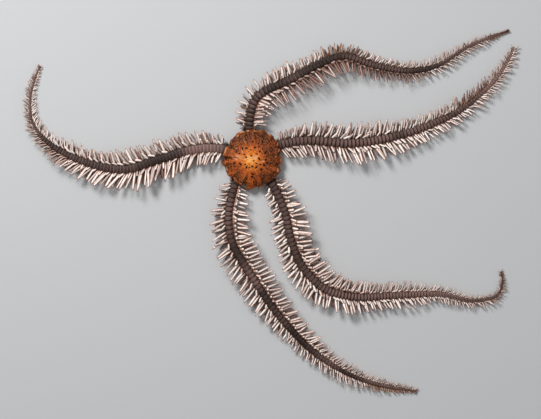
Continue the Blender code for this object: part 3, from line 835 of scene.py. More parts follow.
def plate_material(settings):
    """Dark brown to mauve back plates, with painted shade in their grooves and at their side
    ends and a painted highlight towards each plate's tip end; side plates, the dark ones
    partly painted shade; pale below.
    """
    material, nodes, shader, mottle = start_material("arm plates", 1500.0, 7000.0, 14000.0)
    along = nodes.value("v")
    tone = nodes.jitter(nodes.value("tone"), mottle["Blotch"], 0.35)
    colour = nodes.ramp(nodes.math("ADD", nodes.times(tone, 0.6), 0.4), (
        (0.0, linear((24, 14, 11))), (0.4, opaque(settings.plate_colour)),
        (1.0, opaque(settings.light_plate_colour)),
    ))
    # Painted highlight on a band towards each plate's tip end
    ridge_highlight = nodes.math("MINIMUM", nodes.step(along, 0.30, 0.60), nodes.step(along, 0.97, 0.85))
    ridge_highlight = nodes.times(ridge_highlight, nodes.math("ADD", nodes.times(nodes.value("tone"), 0.37), 0.20))
    colour = nodes.mix(ridge_highlight, colour, linear((152, 120, 110)))
    # Painted shade in the grooves between plates and at the plates' side ends
    groove = nodes.math("MAXIMUM", nodes.step(along, -0.24, -0.62), nodes.step(along, 0.88, 1.0))
    groove = nodes.times(groove, nodes.value("groove"))
    brink_shade = nodes.times(nodes.step(nodes.value("h"), 0.82, 1.0), 0.55)
    colour = nodes.mix(nodes.math("MAXIMUM", groove, brink_shade), colour, linear((22, 12, 9)))
    colour = nodes.mix(nodes.times(nodes.value("line"), 0.75), colour, linear((34, 22, 20)))
    # Side plates: their own colour, the dark end partly painted shade between strip and spines
    flank = nodes.mix(nodes.value("tone"), linear((52, 33, 26)), opaque(settings.flank_colour))
    colour = nodes.mix(nodes.value("flank"), colour, flank)
    colour = nodes.mix(nodes.value("belly"), colour, linear((196, 172, 152)))
    colour = nodes.stain(colour, mottle["Speck"], 0.55, 0.72, 0.14, (190, 164, 150))
    nodes.join(colour, shader.inputs["Base Color"])
    shader.inputs["Specular IOR Level"].default_value = 0.22
    add_finish(nodes, shader, mottle, 0.44, 0.66, 0.00005)
    return material


def skin_material(settings):
    """Dark brownish skin between the plates, paler below."""
    material, nodes, shader, mottle = start_material("arm skin", 1400.0, 6000.0, 12000.0)
    colour = nodes.mix(nodes.step(mottle["Blotch"], 0.35, 0.65), opaque(settings.skin_colour),
                       linear((56, 37, 30)))
    colour = nodes.mix(nodes.times(nodes.value("belly"), 0.8), colour, linear((196, 168, 146)))
    colour = nodes.stain(colour, mottle["Speck"], 0.55, 0.72, 0.2, (190, 160, 142))
    nodes.join(colour, shader.inputs["Base Color"])
    add_finish(nodes, shader, mottle, 0.45, 0.65, 0.00006)
    return material


def spine_material(settings):
    """Cream spines, darker at the tip, with painted shade: pinkish brown at the root and
    down their sides, duller on lower and thinner spines; painted bounce light below.
    """
    material, nodes, shader, mottle = start_material("spines", 1100.0, 6500.0, 12000.0)
    tan = nodes.value("tan")
    along = nodes.value("along")
    top = nodes.jitter(nodes.value("top"), mottle["Blotch"], 0.5)
    colour = nodes.mix(tan, opaque(settings.cream), opaque(settings.tan))
    dull = nodes.mix(tan, opaque(settings.shade), linear((84, 46, 24)))
    side_shade = nodes.mix(tan, linear((216, 172, 152)), linear((140, 82, 44)))
    bounce = nodes.mix(tan, linear((214, 176, 154)), linear((150, 98, 62)))
    # Painted light and shade: cream where the spine faces up, pinkish brown and then dull down its
    # sides
    colour = nodes.mix(nodes.step(top, 0.80, 0.50), colour, side_shade)
    colour = nodes.stain(colour, top, 0.56, 0.28, 0.78, dull)
    # Painted shade at the root; the tip is darker too
    colour = nodes.stain(colour, along, 0.15, 0.05, 0.8, dull)
    colour = nodes.stain(colour, along, 0.92, 1.0, 0.60, dull)
    # Painted shade on lower rows, thin spines and stretches turned from the light, with a random
    # spread
    tint = nodes.times(nodes.value("tint"), nodes.step(top, -0.1, 0.55))
    colour = nodes.mix(nodes.times(tint, 0.90), colour, dull)
    # Painted bounce light on the undersides
    colour = nodes.stain(colour, top, 0.40, -0.15, 0.80, bounce)
    nodes.join(colour, shader.inputs["Base Color"])
    shader.inputs["Roughness"].default_value = 0.38
    shader.inputs["Specular IOR Level"].default_value = 0.45
    shader.inputs["Subsurface Weight"].default_value = 0.06
    shader.inputs["Subsurface Radius"].default_value = (1.0, 0.6, 0.45)
    shader.inputs["Subsurface Scale"].default_value = 0.00015
    add_bump(nodes, shader, mottle["Grain"], 0.00004, 0.6)
    return material


def mouth_material(settings):
    """Pale plates round the mouth, brown in the clefts."""
    material, nodes, shader, mottle = start_material("mouth plates", 1200.0, 5200.0, 11000.0)
    colour = nodes.mix(nodes.step(mottle["Blotch"], 0.3, 0.7), opaque(settings.shield_colour),
                       linear((168, 134, 108)))
    colour = nodes.mix(nodes.value("cleft"), colour, linear((84, 52, 38)))
    nodes.join(colour, shader.inputs["Base Color"])
    add_finish(nodes, shader, mottle, 0.42, 0.62, 0.00007)
    return material


# Shapes that are modelled once and copied


def finish_template(obj):
    """Turn a shape's faces outwards in edit mode, then read and remove it."""
    bpy.ops.mesh.select_all(action="SELECT")
    bpy.ops.mesh.normals_make_consistent(inside=False)
    bpy.ops.object.mode_set(mode="OBJECT")
    return take_template(obj)


def model_spine():
    """One blunt spine a unit long, drawn up ring by ring from a small circle."""
    fresh()
    first = SPINE_PROFILE[0][1]
    bpy.ops.mesh.primitive_circle_add(vertices=SPINE_SIDES, radius=0.5 * first, fill_type="NGON")
    obj = bpy.context.object
    bpy.ops.object.mode_set(mode="EDIT")
    bpy.ops.mesh.select_all(action="SELECT")
    for (low, before), (high, after) in zip(SPINE_PROFILE, SPINE_PROFILE[1:]):
        bpy.ops.mesh.extrude_region_move(TRANSFORM_OT_translate={"value": (0, 0, high - low)})
        bpy.ops.transform.resize(value=(after / before, after / before, 1))
    return finish_template(obj)


def model_plate(across, along, roundness, crown):
    """One plate, two units across and along: rounded corners, a domed face, a thin rim."""
    fresh()
    bpy.ops.mesh.primitive_grid_add(x_subdivisions=across, y_subdivisions=along, size=2)
    obj = bpy.context.object
    for v in obj.data.vertices:
        x, y = v.co.x, v.co.y
        v.co.z = crown * (1 - abs(x) ** 3) * (1 - abs(y) ** 3)
        v.co.x = x * math.sqrt(1 - roundness * y * y)
        v.co.y = y * math.sqrt(1 - roundness * x * x)
    bpy.ops.object.mode_set(mode="EDIT")
    bpy.ops.mesh.select_all(action="SELECT")
    bpy.ops.mesh.normals_make_consistent(inside=False)
    bpy.ops.mesh.region_to_loop()
    bpy.ops.mesh.extrude_edges_move(TRANSFORM_OT_translate={"value": (0, 0, -0.14)})
    bpy.ops.mesh.edge_face_add()
    return finish_template(obj)


def model_bead(segments, rings):
    """A ball of two units, pulled elsewhere into side plates, the mouth's shields and its bed."""
    fresh()
    bpy.ops.mesh.primitive_uv_sphere_add(segments=segments, ring_count=rings, radius=1)
    return take_template(bpy.context.object)


def model_lump(width, length, height):
    """A rounded plate or lump from a bevelled block, standing on z = 0."""
    fresh()
    bpy.ops.mesh.primitive_cube_add(size=1, location=(0, 0, 0))
    obj = bpy.context.object
    bpy.ops.object.mode_set(mode="EDIT")
    bpy.ops.mesh.select_all(action="SELECT")
    bpy.ops.transform.resize(value=(width, length, height))
    bpy.ops.transform.translate(value=(0, 0, 0.5 * height))
    bpy.ops.mesh.bevel(offset=0.28 * min(width, length, height), segments=2, affect="EDGES")
    bpy.ops.object.mode_set(mode="OBJECT")
    rounding = obj.modifiers.new("round", "SUBSURF")
    rounding.levels = rounding.render_levels = 1
    bpy.ops.object.modifier_apply(modifier=rounding.name)
    return take_template(obj)


# Disc


def edge_radius(angle):
    """Radius of the disc's scalloped edge at angles in degrees."""
    table = [(p - 360, r) for p, r in DISC_EDGE[-2:]] + list(DISC_EDGE)
    table += [(p + 360, r) for p, r in DISC_EDGE[:2]]
    return read_table(table, np.mod(angle, 360))[..., 0]


def mean_edge_radius(angle, spread=18):
    """The same edge with its scallops smoothed away."""
    steps = range(-spread, spread + 1, 4)
    return sum(edge_radius(angle + step) for step in steps) / len(steps)


def arm_nearness(x, y):
    """1 over an arm's base and 0 clear of it."""
    near = np.zeros_like(x)
    for line in ARM_LINES.values():
        points = line.at(np.linspace(line.at_radius(2.6), line.at_radius(9.5), 24))
        gap = np.hypot(x[:, None] - points[None, :, 0], y[:, None] - points[None, :, 1])
        near = np.maximum(near, 1 - smooth(1.45, 2.15, np.min(gap, axis=1)))
    return near


def oval_field(x, y, marks):
    """Distance to the nearest of a list of ovals, in units of the oval's own size."""
    field = np.full(len(x), 4.0)
    for cx, cy, long, wide, turn in marks:
        a = math.radians(turn)
        u = ((x - cx) * math.cos(a) + (y - cy) * math.sin(a)) / long
        v = (-(x - cx) * math.sin(a) + (y - cy) * math.cos(a)) / wide
        field = np.minimum(field, np.hypot(u, v))
    return field


def granules(x, y):
    """Height of the small granules on the disc, 0 between them, and a shade for each one."""
    draw = random.Random(31)
    count = int(DISC_REACH / GRANULE_PITCH)
    spots = []
    for row in range(-count, count + 1):
        for column in range(-count, count + 1):
            spots.append((GRANULE_PITCH * (column + 0.5 * (row % 2) + draw.uniform(-0.22, 0.22)),
                          GRANULE_PITCH * 0.87 * (row + draw.uniform(-0.22, 0.22)), 0))
    tree = KDTree(len(spots))
    for number, spot in enumerate(spots):
        tree.insert(spot, number)
    tree.balance()
    shades = np.array([draw.random() for _ in spots])
    found = [tree.find((px, py, 0)) for px, py in zip(x.tolist(), y.tolist())]
    gap = np.array([hit[2] for hit in found]) / (0.5 * GRANULE_PITCH)
    return np.clip(1 - gap ** 2, 0, 1), shades[[hit[1] for hit in found]]


def disc_shape(settings):
    """Function that folds a grid into the disc: first share from top to bottom, second round."""

    def shape(down, round_):
        angle = round_ * 360
        a = np.radians(angle)
        edge = edge_radius(angle)
        mean = mean_edge_radius(angle)
        top = down < DISC_TOP_SHARE
        share = np.where(top, down / DISC_TOP_SHARE, (1 - down) / (1 - DISC_TOP_SHARE))
        share = np.clip(np.where(top, 1 - (1 - share) ** 1.35, share), 0, 1)
        full = mean + (edge - mean) * smooth(0.72, 0.98, share)
        r = full * share
        x, y = r * np.cos(a), r * np.sin(a)
        lift = arm_nearness(edge * np.cos(a), edge * np.sin(a))
        margin = MARGIN_HEIGHT + MARGIN_LIFT * lift
        scallop = np.clip((edge - mean) / SCALLOP_UNIT, -1.4, 1.2)
        shut = 1 - smooth(0.95, 1.0, share)
        high = margin + (settings.height - margin) * (1 - share ** 2.2) ** 0.8
        high += SCALLOP_RELIEF * scallop * smooth(0.48, 0.92, share) * shut
        spokes = np.stack([2.6 * np.cos(a), 2.6 * np.sin(a), 0.35 * r], axis=-1)
        flat = np.stack([x, y], axis=-1)
        high += WRINKLE_RELIEF * ripples(spokes, 5, 3, 1.5) * smooth(0.35, 0.8, share) * shut
        high += WAVE_RELIEF * ripples(flat, 9, 3, 1.6) * shut
        high += GRANULE_RELIEF * granules(x, y)[0] * shut
        high -= DOT_DEPTH * (1 - smooth(0.6, 1.3, oval_field(x, y, DISC_DOTS)))
        high -= MARGIN_DROP * smooth(0.93, 1.0, share)
        rim = margin - MARGIN_DROP
        belly = BELLY_HEIGHT + MOUTH_RISE * (1 - smooth(*MOUTH_EDGE, r))
        low = belly + (ARM_ROOF - belly) * arm_nearness(x, y)
        low = low + (rim - low) * smooth(0.80, 1.0, share) ** 1.6
        z = np.where(top, high, np.minimum(low, rim))
        return np.stack([x, y, z], axis=-1)

    return shape


def disc_values(down, round_, places):
    """Where the disc is pale, dark, dotted, clouded, pleated or flecked, and where painted
    shade and painted light lie on it.
    """
    x, y = places[:, 0], places[:, 1]
    angle = round_ * 360
    a = np.radians(angle)
    edge = edge_radius(angle)
    share = np.hypot(x, y) / edge
    top = down < DISC_TOP_SHARE
    spokes = np.stack([3.4 * np.cos(a), 3.4 * np.sin(a), 1.2 * share], axis=-1)
    scallop = np.clip((edge - mean_edge_radius(angle)) / SCALLOP_UNIT, -1.3, 1.1)
    # Scallops: painted shade in their hollows and painted light on their crests; the ripples are
    # real radial streaks
    pleat = (0.36 * scallop * smooth(0.48, 0.88, share)
             + 0.44 * ripples(spokes, 21, 4, 2.0) * smooth(0.26, 0.60, share))
    height, shade = granules(x, y)
    ragged = 0.5 + 0.5 * ripples(np.stack([6 * np.cos(a), 6 * np.sin(a)], axis=-1), 44, 2, 5.0)
    return {
        # The tilt darkens the top of the disc and lightens its bottom: painted shade and light
        "rim": (np.hypot(x + 0.4, y + 0.2) / edge
                + 0.16 * np.cos(a - 1.85) * smooth(0.35, 0.8, share)),
        "pleat": 0.5 + pleat,
        # Granules: painted shade between them and painted light on their tops, times a random tone
        "granule": np.where(top, np.clip(height * 2.2, 0, 1) * (0.35 + 0.75 * shade), 0.4),
        # Painted highlight along the rim
        "edge": np.where(top, smooth(0.90, 0.97, share) * ragged, 0.0),
        "dot": np.where(top, oval_field(x, y, DISC_DOTS), 4.0),
        "fleck_and_glint": np.where(top, oval_field(x, y, DISC_FLECKS_AND_GLINTS), 4.0),
        "cloud_and_shade": np.where(top, oval_field(x, y, DISC_CLOUDS_AND_SHADE), 4.0),
        "under": np.where(top, 0.0, 1 - smooth(0.82, 0.98, share)),
    }


# Arms


def build_arm_skin(name):
    """Flesh of one arm from the mouth to its tip, swelling at each segment."""
    line = ARM_LINES[name]
    start = line.at_radius(ARM_SKIN_START)
    marks = np.array(segments_of(name) + [line.length + 0.2])

    def shape(along, turn):
        s = start + (line.length - start) * along
        width, height = body_at(name, s / line.length)
        index = np.clip(np.searchsorted(marks, s) - 1, 0, len(marks) - 2)
        phase = np.clip((s - marks[index]) / (marks[index + 1] - marks[index]), 0, 1)
        swell = 0.93 + 0.05 * np.sin(np.pi * phase)
        shut = np.where((along < 1e-6) | (along > 1 - 1e-6), 0.0, 1.0)
        taper = 1 - 0.65 * smooth(line.length - 0.7, line.length, s)
        taper -= 0.4 * (1 - smooth(0, 0.9, s - start))
        c, d = np.cos(turn * 2 * np.pi), np.sin(turn * 2 * np.pi)
        side = 0.5 * width * swell * taper * np.sign(c) * np.abs(c) ** 0.85 * shut
        over = WAIST * height + 0.52 * height * np.abs(d) ** 0.9 * taper * shut
        keel = np.abs(d) ** 0.6 * shut * np.minimum(1, taper + 0.15)
        under = WAIST * height - 0.42 * height * keel
        return line.lay(s, side, np.maximum(np.where(d > 0, over, under), 0.03))

    def values(along, turn, places):
        return {"belly": smooth(0.3, 0.75, -np.sin(turn * 2 * np.pi))}

    rings = int((line.length - start) / SKIN_RING)
    return wrapped_grid("arm_skin_" + name, rings, SKIN_CORNERS, shape, values)


def lay_on_back(line, s, side, lift, width, height, roll):
    """Places on the arm's rolled back, raised by lift."""
    up = back_height(width, height, side) + lift
    side, up = roll_section(side, up, roll, height)
    return line.lay(s, side, up)


def build_arm_plates(name, flush_plate, round_plate, belly_plate, bead):
    """Back plates, side plates and plates below, one set to each segment."""
    line = ARM_LINES[name]
    marks = segments_of(name)
    draw = random.Random("plates " + name)
    made = Gathering("v", "h", "tone", "groove", "line", "flank", "belly")
    for s0, s1 in zip(marks, marks[1:]):
        u = s0 / line.length
        pitch = s1 - s0
        middle = s0 + 0.5 * pitch
        width, height = body_at(name, u)
        roll = read_one(ARM_ROLL[name], u)
        tone, groove = read_table(PLATE_TONE[name], u)
        clear = smooth(6.5, 7.4, float(np.linalg.norm(line.at(middle))))
        tone = tone * clear - 0.2 * (1 - clear)
        small = min(1.0, width / 2)

        (flush, faces), (rounded, _) = flush_plate, round_plate
        shape = flush + (rounded - flush) * min(1.0, max(0.0, (groove - 0.5) / 0.45))
        strip, shift = read_table(BACK_STRIP[name], u)
        strip *= 1 + draw.uniform(-0.05, 0.05)
        turn = 0.05 * draw.gauss(0, 1) * groove
        verts = lay_on_back(line, middle + (shape[:, 1] * 0.54 + shape[:, 0] * turn) * pitch,
                            shape[:, 0] * 0.5 * strip + shift,
                            shape[:, 2] * small + 0.03, width, height, roll)
        made.add(verts, faces, v=flush[:, 1], h=np.abs(flush[:, 0]), groove=groove,
                 line=(MIDDLE_LINE[name] * smooth(0.68, 0.80, u)
                       * (1 - smooth(0.1, 0.5, np.abs(flush[:, 0])))),
                 tone=tone + draw.uniform(-0.10, 0.10))

        shape, faces = bead
        for hand in (1, -1):
            side = shift + hand * (0.5 * strip + (0.09 + shape[:, 0] * 0.13) * width)
            up = 0.54 * height + shape[:, 2] * 0.42 * height
            side, up = roll_section(side, up, roll, height)
            along = middle + (shape[:, 1] * 0.44 + 0.05) * pitch
            verts = line.lay(along, side, np.maximum(up, 0.02))
            # Side plates' lightness; the dark values partly painted shade
            light = FLANK_TONE[name][0 if hand > 0 else 1]
            light += (0.45 - light) * smooth(0.68, 0.84, u) - 0.4 * smooth(0.84, 0.96, u)
            light += draw.uniform(-0.15, 0.15)
            made.add(verts, faces if hand > 0 else turned(faces), flank=1.0, tone=light)

        shape, faces = belly_plate
        up = np.maximum(0.05 - shape[:, 2] * 0.6, 0.005)
        verts = line.lay(middle + shape[:, 1] * 0.52 * pitch, shape[:, 0] * 0.28 * width, up)
        made.add(verts, turned(faces), belly=1.0)
    return made.build("arm_plates_" + name, smooth_angle=50)


def spine_stance(name, row, hand, draw, u, reach, root_side):
    """Rise, lean, length, thickness and added dullness of one spine: painted shade on thin
    spines, which lie lower.
    """
    bears, _, rise, _, _, share, thick, extra, _ = SPINE_ROWS[row]
    side = 0 if hand > 0 else 1
    if row == STUB_ROW:
        rise, lean, share, stout = read_table(STUBS[name][side], u)
        return (rise + draw.gauss(0, 10), lean + draw.gauss(0, 16),
                share * reach * draw.uniform(0.72, 1.12), thick * stout * (1 - 0.25 * u), 0.0)
    wild = float(smooth(0.84, 1.0, u))
    rise += draw.gauss(0, 4 + 6 * wild)
    lean = read_side(SPINE_LEAN[name], u, hand) + 10 * smooth(0.94, 1.0, u)
    lean += extra + draw.gauss(0, 6.5 + 8 * wild)
    even = float(smooth(0.5, 0.72, u))
    stout = STOUTNESS[name][side][bears == "odd"] * (1 - even) + 0.96 * even
    thick *= stout
    # Thin spines lie lower: painted shade on them
    thin_spine_shade = 1.4 * max(0.0, 0.84 - stout) if bears == "odd" else 0.0
    if share > LONG_SHARE:
        flat = math.cos(math.radians(rise)) * math.cos(math.radians(lean))
        return rise, lean, (reach * share - root_side) / max(flat, LEAST_SPREAD), thick, thin_spine_shade
    return rise, lean, share * reach * (1 - 0.22 * even), thick, thin_spine_shade


def tan_share(name, hand, draw, u):
    """How tan one spine is, from 0 to 1."""
    tan = 0.0
    for where, low, high, strength in TAN_STRETCHES[name]:
        if where in (0, hand) and low <= u <= high:
            tan = strength * draw.uniform(0.5, 1.0)
    return tan


def lay_spine(shape, root, axis, length, fat, draw):
    """Corners of one slightly bowed spine from its sunk root, and how far each looks up."""
    across = np.cross(axis, (0, 0, 1.0))
    across /= np.linalg.norm(across)
    over = np.cross(across, axis)
    bow = draw.uniform(-0.05, 0.07) * length
    sway = draw.gauss(0, 0.03) * length
    t = shape[:, 2]
    verts = (root + axis * (t * (length + SPINE_SINK))[:, None]
             + across * (shape[:, 0] * fat + sway * t * t)[:, None]
             + over * (shape[:, 1] * fat * SPINE_FLAT + bow * (t - t * t) * 2)[:, None])
    verts[:, 2] = np.maximum(verts[:, 2], SPINE_FLOOR)
    blunt = smooth(0.80, 1.0, t)[:, None] * 0.9
    normal = ((across * shape[:, 0, None] * 2 + over * shape[:, 1, None] * 2)
              * np.sqrt(1 - blunt ** 2) + axis * blunt)[:, 2]
    return verts, normal


def bake_centre(u, row, hand):
    """Place of a spine's root on the bake map, where the arm is unrolled in folded rows."""
    fold = (u * BAKE_ROWS) % 1.0
    flank = 0.5 + hand * (0.08 + 0.07 * row)
    whole = math.floor(min(u, 0.9999) * BAKE_ROWS)
    return np.array((0.02 + 0.96 * fold, (whole + flank) / BAKE_ROWS))


def build_arm_spines(name, template, settings):
    """All spines of one arm, in rows up both flanks, leaning to the arm's tip."""
    shape, shape_faces = template
    # The spines' own directions make a mirrored frame
    shape_faces = turned(shape_faces)
    line = ARM_LINES[name]
    marks = segments_of(name)
    spine_start = line.at_radius(SPINE_START)
    draw = random.Random("spines " + name)
    made = Gathering("along", "tint", "tan", "top")
    face_corners = np.array([i for face in shape_faces for i in face])
    around = np.arctan2(shape[:, 1], shape[:, 0]) / (2 * np.pi) + 0.5
    t = shape[:, 2]
    patch = np.stack([around - 0.5, t - 0.5], axis=-1) * BAKE_PATCH
    corners = []
    spots = ((index, hand, row) for index in range(len(marks) - 1) for hand in (1, -1)
             for row in range(len(SPINE_ROWS)))
    for index, hand, row in spots:
        bears, phase, _, root_side, root_up, _, _, _, dull = SPINE_ROWS[row]
        pitch = marks[index + 1] - marks[index]
        s = marks[index] + pitch * (phase + draw.uniform(-0.09, 0.09))
        u = s / line.length
        dense = row == STUB_ROW and draw.random() < read_side(EXTRA_STUBS[name], u, hand)
        parity = "even" if index % 2 == 0 else "odd"
        if (bears not in ("all", parity) and not dense) or s < spine_start:
            continue
        width, height = body_at(name, u)
        reach = read_side(SPINE_REACH[name], u, hand)
        reach *= (1 + draw.uniform(-0.12, 0.05)) * (1 - 0.3 * smooth(0.94, 1.0, u))
        if draw.random() < 0.1:
            reach *= 0.85
        roll = read_one(ARM_ROLL[name], u)
        strip, shift = read_table(BACK_STRIP[name], u)
        place = root_side * 0.5 * width * hand
        place += (0.5 * hand * strip + shift - place) * 0.7 * smooth(0.68, 0.82, u)
        side, up = roll_section(place, root_up * height, roll, height)
        rise, lean, length, fat, thin_spine_shade = spine_stance(name, row, hand, draw, u, reach, abs(side))
        tan = tan_share(name, hand, draw, u)
        length = max(0.35, length) * settings.length
        size = min(1.0, 0.34 + 0.66 * reach / 4.4)
        fat *= size * draw.uniform(0.88, 1.08) * (1 - 0.28 * tan) * settings.thickness
        up = max(float(up), 0.5 * fat + 0.02)
        lowest = math.degrees(math.asin(max(-0.9, min(0.9, (0.32 * fat + 0.02 - up) / length))))
        rise = math.radians(max(rise - 0.5 * hand * roll, lowest))
        lean = math.radians(lean)
        way = line.heading(s)
        level = np.array([way[1], -way[0]]) * hand * math.cos(lean) + way * math.sin(lean)
        axis = np.array([*(level * math.cos(rise)), math.sin(rise)])
        root = line.lay(s, side, up) - axis * SPINE_SINK
        verts, normal = lay_spine(shape, root, axis, length, fat, draw)
        # Dullness, partly painted shade: the row's, the thin spines' and the stretch's of the arm
        dull += thin_spine_shade + read_side(SPINE_DULL[name], u, hand)
        tint = min(1.0, max(0.0, dull + draw.gauss(0.03, 0.19)))
        shown = t
        # Stout upper spines: no darker tip, and lighter painted shade down their sides
        if row == STUB_ROW:
            shown = np.minimum(t, 0.88)
            normal = np.minimum(normal + 0.08, 1.0)
        made.add(verts, shape_faces, along=shown, tint=tint, tan=tan, top=normal)
        corners.append((bake_centre(u, row, hand) + patch)[face_corners])
    obj = made.build("arm_spines_" + name)
    layer = obj.data.uv_layers.new(name="OFBake")
    layer.data.foreach_set("uv", np.vstack(corners).astype(np.float32).ravel())
    return obj


# Mouth


def place_copy(made, template, move, turn=0.0, **values):
    """Add a copy of a shape, moved and then turned about the origin."""
    shape, faces = template
    x, y = shape[:, 0] + move[0], shape[:, 1] + move[1]
    a = math.radians(turn)
    verts = np.stack([x * math.cos(a) - y * math.sin(a), x * math.sin(a) + y * math.cos(a),
                      np.maximum(shape[:, 2] + move[2], 0.004)], axis=-1)
    made.add(verts, faces, **values)


def build_mouth():
    """Five jaws with shields outside and rows of small papillae along the clefts."""
    made = Gathering("cleft")
    bed, faces = model_bead(32, 10)
    place_copy(made, (bed * (3.3, 3.3, 0.3), faces), (0, 0, 0.9), cleft=1.0)
    jaw = model_lump(0.78, 2.0, 0.72)
    shield, shield_faces = model_bead(16, 8)
    shield = np.sign(shield) * np.abs(shield) ** 0.75 * (0.86, 0.66, 0.3)
    papilla = model_lump(0.2, 0.36, 0.26)
    angles = []
    for line in ARM_LINES.values():
        point = line.at(line.at_radius(4.0))
        angles.append(math.degrees(math.atan2(point[1], point[0])) % 360)
    angles.sort()
    for first, second in zip(angles, angles[1:] + [angles[0] + 360]):
        turn = 0.5 * (first + second) - 90
        place_copy(made, jaw, (0, 1.12, 0.12), turn, cleft=0.15)
        place_copy(made, (shield, shield_faces), (0, 2.5, 0.4), turn)
        for hand in (-1, 1):
            for number in range(4):
                place = (hand * (0.44 + 0.06 * number), 0.5 + 0.42 * number, 0.03)
                place_copy(made, papilla, place, turn)
        place_copy(made, papilla, (0, 0.2, 0.03), turn)
    return made.build("mouth_parts", smooth_angle=60)


# Settings, steps and panel


def screen_colour(name, description, colour):
    """A colour property whose default is given as a 0-255 screen colour."""
    return FloatVectorProperty(name=name, description=description, subtype="COLOR", size=3,
                               default=linear(colour)[:3])


class BrittleStarDisc(bpy.types.PropertyGroup):
    """Sizes and colours of the disc and mouth."""

    height: FloatProperty(name="Disc Height", description="Height of the domed disc in millimetres",
                          default=4.25)
    centre_colour: screen_colour("Centre", "Colour at the middle of the disc", (252, 182, 96))
    rim_colour: screen_colour("Rim", "Colour at the edge of the disc", (96, 40, 16))
    shield_colour: screen_colour("Mouth Plates", "Colour of the plates round the mouth",
                                 (212, 184, 158))


class BrittleStarArms(bpy.types.PropertyGroup):
    """Colours of the arms."""

    plate_colour: screen_colour("Dark Plates", "Darkest colour of the back plates", (42, 26, 21))
    light_plate_colour: screen_colour("Light Plates", "Lightest colour of the back plates",
                                      (118, 90, 84))
    flank_colour: screen_colour("Side Plates", "Colour of the plates that bear the spines",
                                (206, 162, 142))
    skin_colour: screen_colour("Skin", "Colour of the skin between the plates", (30, 19, 15))


class BrittleStarSpines(bpy.types.PropertyGroup):
    """Sizes and colours of the spines."""

    length: FloatProperty(name="Length", description="Share of the spines' usual length",
                          default=1.0, min=0.5, max=1.2)
    thickness: FloatProperty(name="Thickness", description="Share of the spines' usual thickness",
                             default=1.0, min=0.5, max=1.5)
    cream: screen_colour("Cream", "Colour of most spines", (255, 248, 242))
    tan: screen_colour("Tan", "Colour of the brown spines", (168, 104, 56))
    shade: screen_colour("Shade", "Colour of the spines' roots and sides", (108, 65, 50))


class BrittleStarStage(bpy.types.PropertyGroup):
    """Floor, lamps and camera."""

    floor_colour: screen_colour("Floor", "Colour of the floor", (188, 189, 190))
    key_power: FloatProperty(name="Key Lamp", description="Power of the main lamp in watts",
                             default=1.8, min=0)
    fill_power: FloatProperty(name="Fill Lamp", description="Power of the fill lamps in watts",
                              default=0.26, min=0)
    lens: FloatProperty(name="Lens", description="Focal length of the camera in millimetres",
                        default=300.0, min=20)
    view_width: FloatProperty(name="View Width",
                              description="Width of the floor in view in millimetres",
                              default=123.8)


class SCENE_OT_brittle_star_disc(bpy.types.Operator):
    """Build the scalloped, wrinkled disc"""

    bl_idname = "scene.brittle_star_disc"
    bl_label = "Disc"

    def execute(self, context):
        settings = context.scene.brittle_star_disc
        skin = wrapped_grid("disc_skin", *DISC_GRID, disc_shape(settings), disc_values)
        dress(skin, disc_material(settings), ["disc"])
        return {"FINISHED"}


class SCENE_OT_brittle_star_mouth(bpy.types.Operator):
    """Build the jaws, shields and papillae of the mouth"""

    bl_idname = "scene.brittle_star_mouth"
    bl_label = "Mouth"

    def execute(self, context):
        settings = context.scene.brittle_star_disc
        dress(build_mouth(), mouth_material(settings), ["mouth"])
        return {"FINISHED"}


class SCENE_OT_brittle_star_arms(bpy.types.Operator):
    """Build the skin and the overlapping plates of the arms"""

    bl_idname = "scene.brittle_star_arms"
    bl_label = "Arms"

    def execute(self, context):
        settings = context.scene.brittle_star_arms
        skin = skin_material(settings)
        plates = plate_material(settings)
        shapes = (model_plate(8, 7, 0.06, 0.05), model_plate(8, 7, 0.66, 0.26),
                  model_plate(4, 4, 0.30, 0.06), model_bead(10, 6))
        for name in ARM_LINES:
            dress(build_arm_skin(name), skin, arm_nodes(name))
            dress(build_arm_plates(name, *shapes), plates, [])
        return {"FINISHED"}


class SCENE_OT_brittle_star_spines(bpy.types.Operator):
    """Build the rows of spines along the arms"""

    bl_idname = "scene.brittle_star_spines"
    bl_label = "Spines"

    def execute(self, context):
        settings = context.scene.brittle_star_spines
        material = spine_material(settings)
        template = model_spine()
        for name in ARM_LINES:
            dress(build_arm_spines(name, template, settings), material, [])
        return {"FINISHED"}


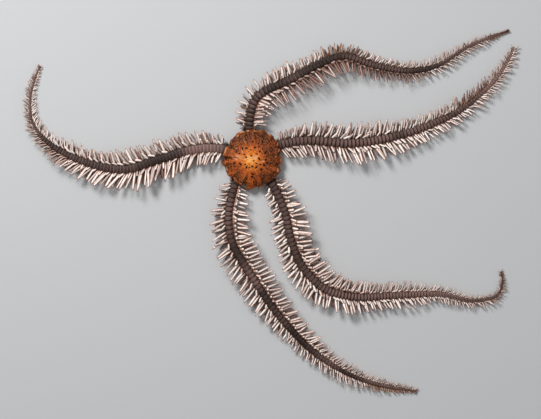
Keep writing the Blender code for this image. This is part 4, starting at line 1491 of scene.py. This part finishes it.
class SCENE_OT_brittle_star_stage(bpy.types.Operator):
    """Lay the floor and set the lamps and the camera"""

    bl_idname = "scene.brittle_star_stage"
    bl_label = "Floor, Lamps and Camera"

    def execute(self, context):
        settings = context.scene.brittle_star_stage
        scene = context.scene
        fresh()
        bpy.ops.mesh.primitive_plane_add(size=FLOOR_SIZE, location=(0, 0, 0))
        floor = bpy.context.object
        floor.name = "floor"
        material = bpy.data.materials.new("floor")
        material.use_nodes = True
        shader = material.node_tree.nodes["Principled BSDF"]
        shader.inputs["Base Color"].default_value = opaque(settings.floor_colour)
        shader.inputs["Roughness"].default_value = 0.85
        shader.inputs["Specular IOR Level"].default_value = 0.2
        floor.data.materials.append(material)
        powers = (settings.key_power, settings.fill_power, settings.fill_power)
        for (name, place, size), power in zip(LAMPS, powers):
            lamp = bpy.data.lights.new(name, "AREA")
            lamp.size = size
            lamp.energy = power
            obj = bpy.data.objects.new(name, lamp)
            scene.collection.objects.link(obj)
            obj.location = place
            obj.rotation_euler = (VIEW_MIDDLE - Vector(place)).to_track_quat("-Z", "Y").to_euler()
        world = bpy.data.worlds.new("studio")
        world.use_nodes = True
        sky = world.node_tree.nodes["Background"]
        sky.inputs["Color"].default_value = (0.92, 0.93, 0.95, 1)
        sky.inputs["Strength"].default_value = 0.18
        scene.world = world
        scene.view_settings.view_transform = "Standard"
        lens = bpy.data.cameras.new("camera")
        lens.lens = settings.lens
        lens.sensor_width = 36.0
        lens.clip_start = 0.01
        lens.clip_end = 20.0
        camera = bpy.data.objects.new("camera", lens)
        scene.collection.objects.link(camera)
        height = settings.view_width * MM * settings.lens / lens.sensor_width
        camera.location = (VIEW_MIDDLE.x, VIEW_MIDDLE.y, height)
        camera.rotation_euler = (0, 0, 0)
        scene.camera = camera
        return {"FINISHED"}


SETTINGS = (
    ("brittle_star_disc", BrittleStarDisc),
    ("brittle_star_arms", BrittleStarArms),
    ("brittle_star_spines", BrittleStarSpines),
    ("brittle_star_stage", BrittleStarStage),
)
PANEL_ROWS = (
    ((SCENE_OT_brittle_star_disc, SCENE_OT_brittle_star_mouth), "brittle_star_disc"),
    ((SCENE_OT_brittle_star_arms,), "brittle_star_arms"),
    ((SCENE_OT_brittle_star_spines,), "brittle_star_spines"),
    ((SCENE_OT_brittle_star_stage,), "brittle_star_stage"),
)


class VIEW3D_PT_brittle_star(bpy.types.Panel):
    """Sidebar panel with the steps and their settings"""

    bl_label = "Brittle Star"
    bl_idname = "VIEW3D_PT_brittle_star"
    bl_space_type = "VIEW_3D"
    bl_region_type = "UI"
    bl_category = "Brittle Star"

    def draw(self, context):
        for steps, settings in PANEL_ROWS:
            box = self.layout.box()
            for step in steps:
                box.operator(step.bl_idname)
            group = getattr(context.scene, settings)
            for key in group.__annotations__:
                box.prop(group, key)


STEPS = tuple(step for steps, _ in PANEL_ROWS for step in steps)


def register():
    for name, group in SETTINGS:
        bpy.utils.register_class(group)
        setattr(bpy.types.Scene, name, PointerProperty(type=group))
    for step in STEPS:
        bpy.utils.register_class(step)
    bpy.utils.register_class(VIEW3D_PT_brittle_star)


def unregister():
    bpy.utils.unregister_class(VIEW3D_PT_brittle_star)
    for step in reversed(STEPS):
        bpy.utils.unregister_class(step)
    for name, group in reversed(SETTINGS):
        delattr(bpy.types.Scene, name)
        bpy.utils.unregister_class(group)


def main():
    register()
    bpy.ops.scene.brittle_star_disc()
    bpy.ops.scene.brittle_star_mouth()
    bpy.ops.scene.brittle_star_arms()
    bpy.ops.scene.brittle_star_spines()
    bpy.ops.scene.brittle_star_stage()


if __name__ == "__main__":
    main()
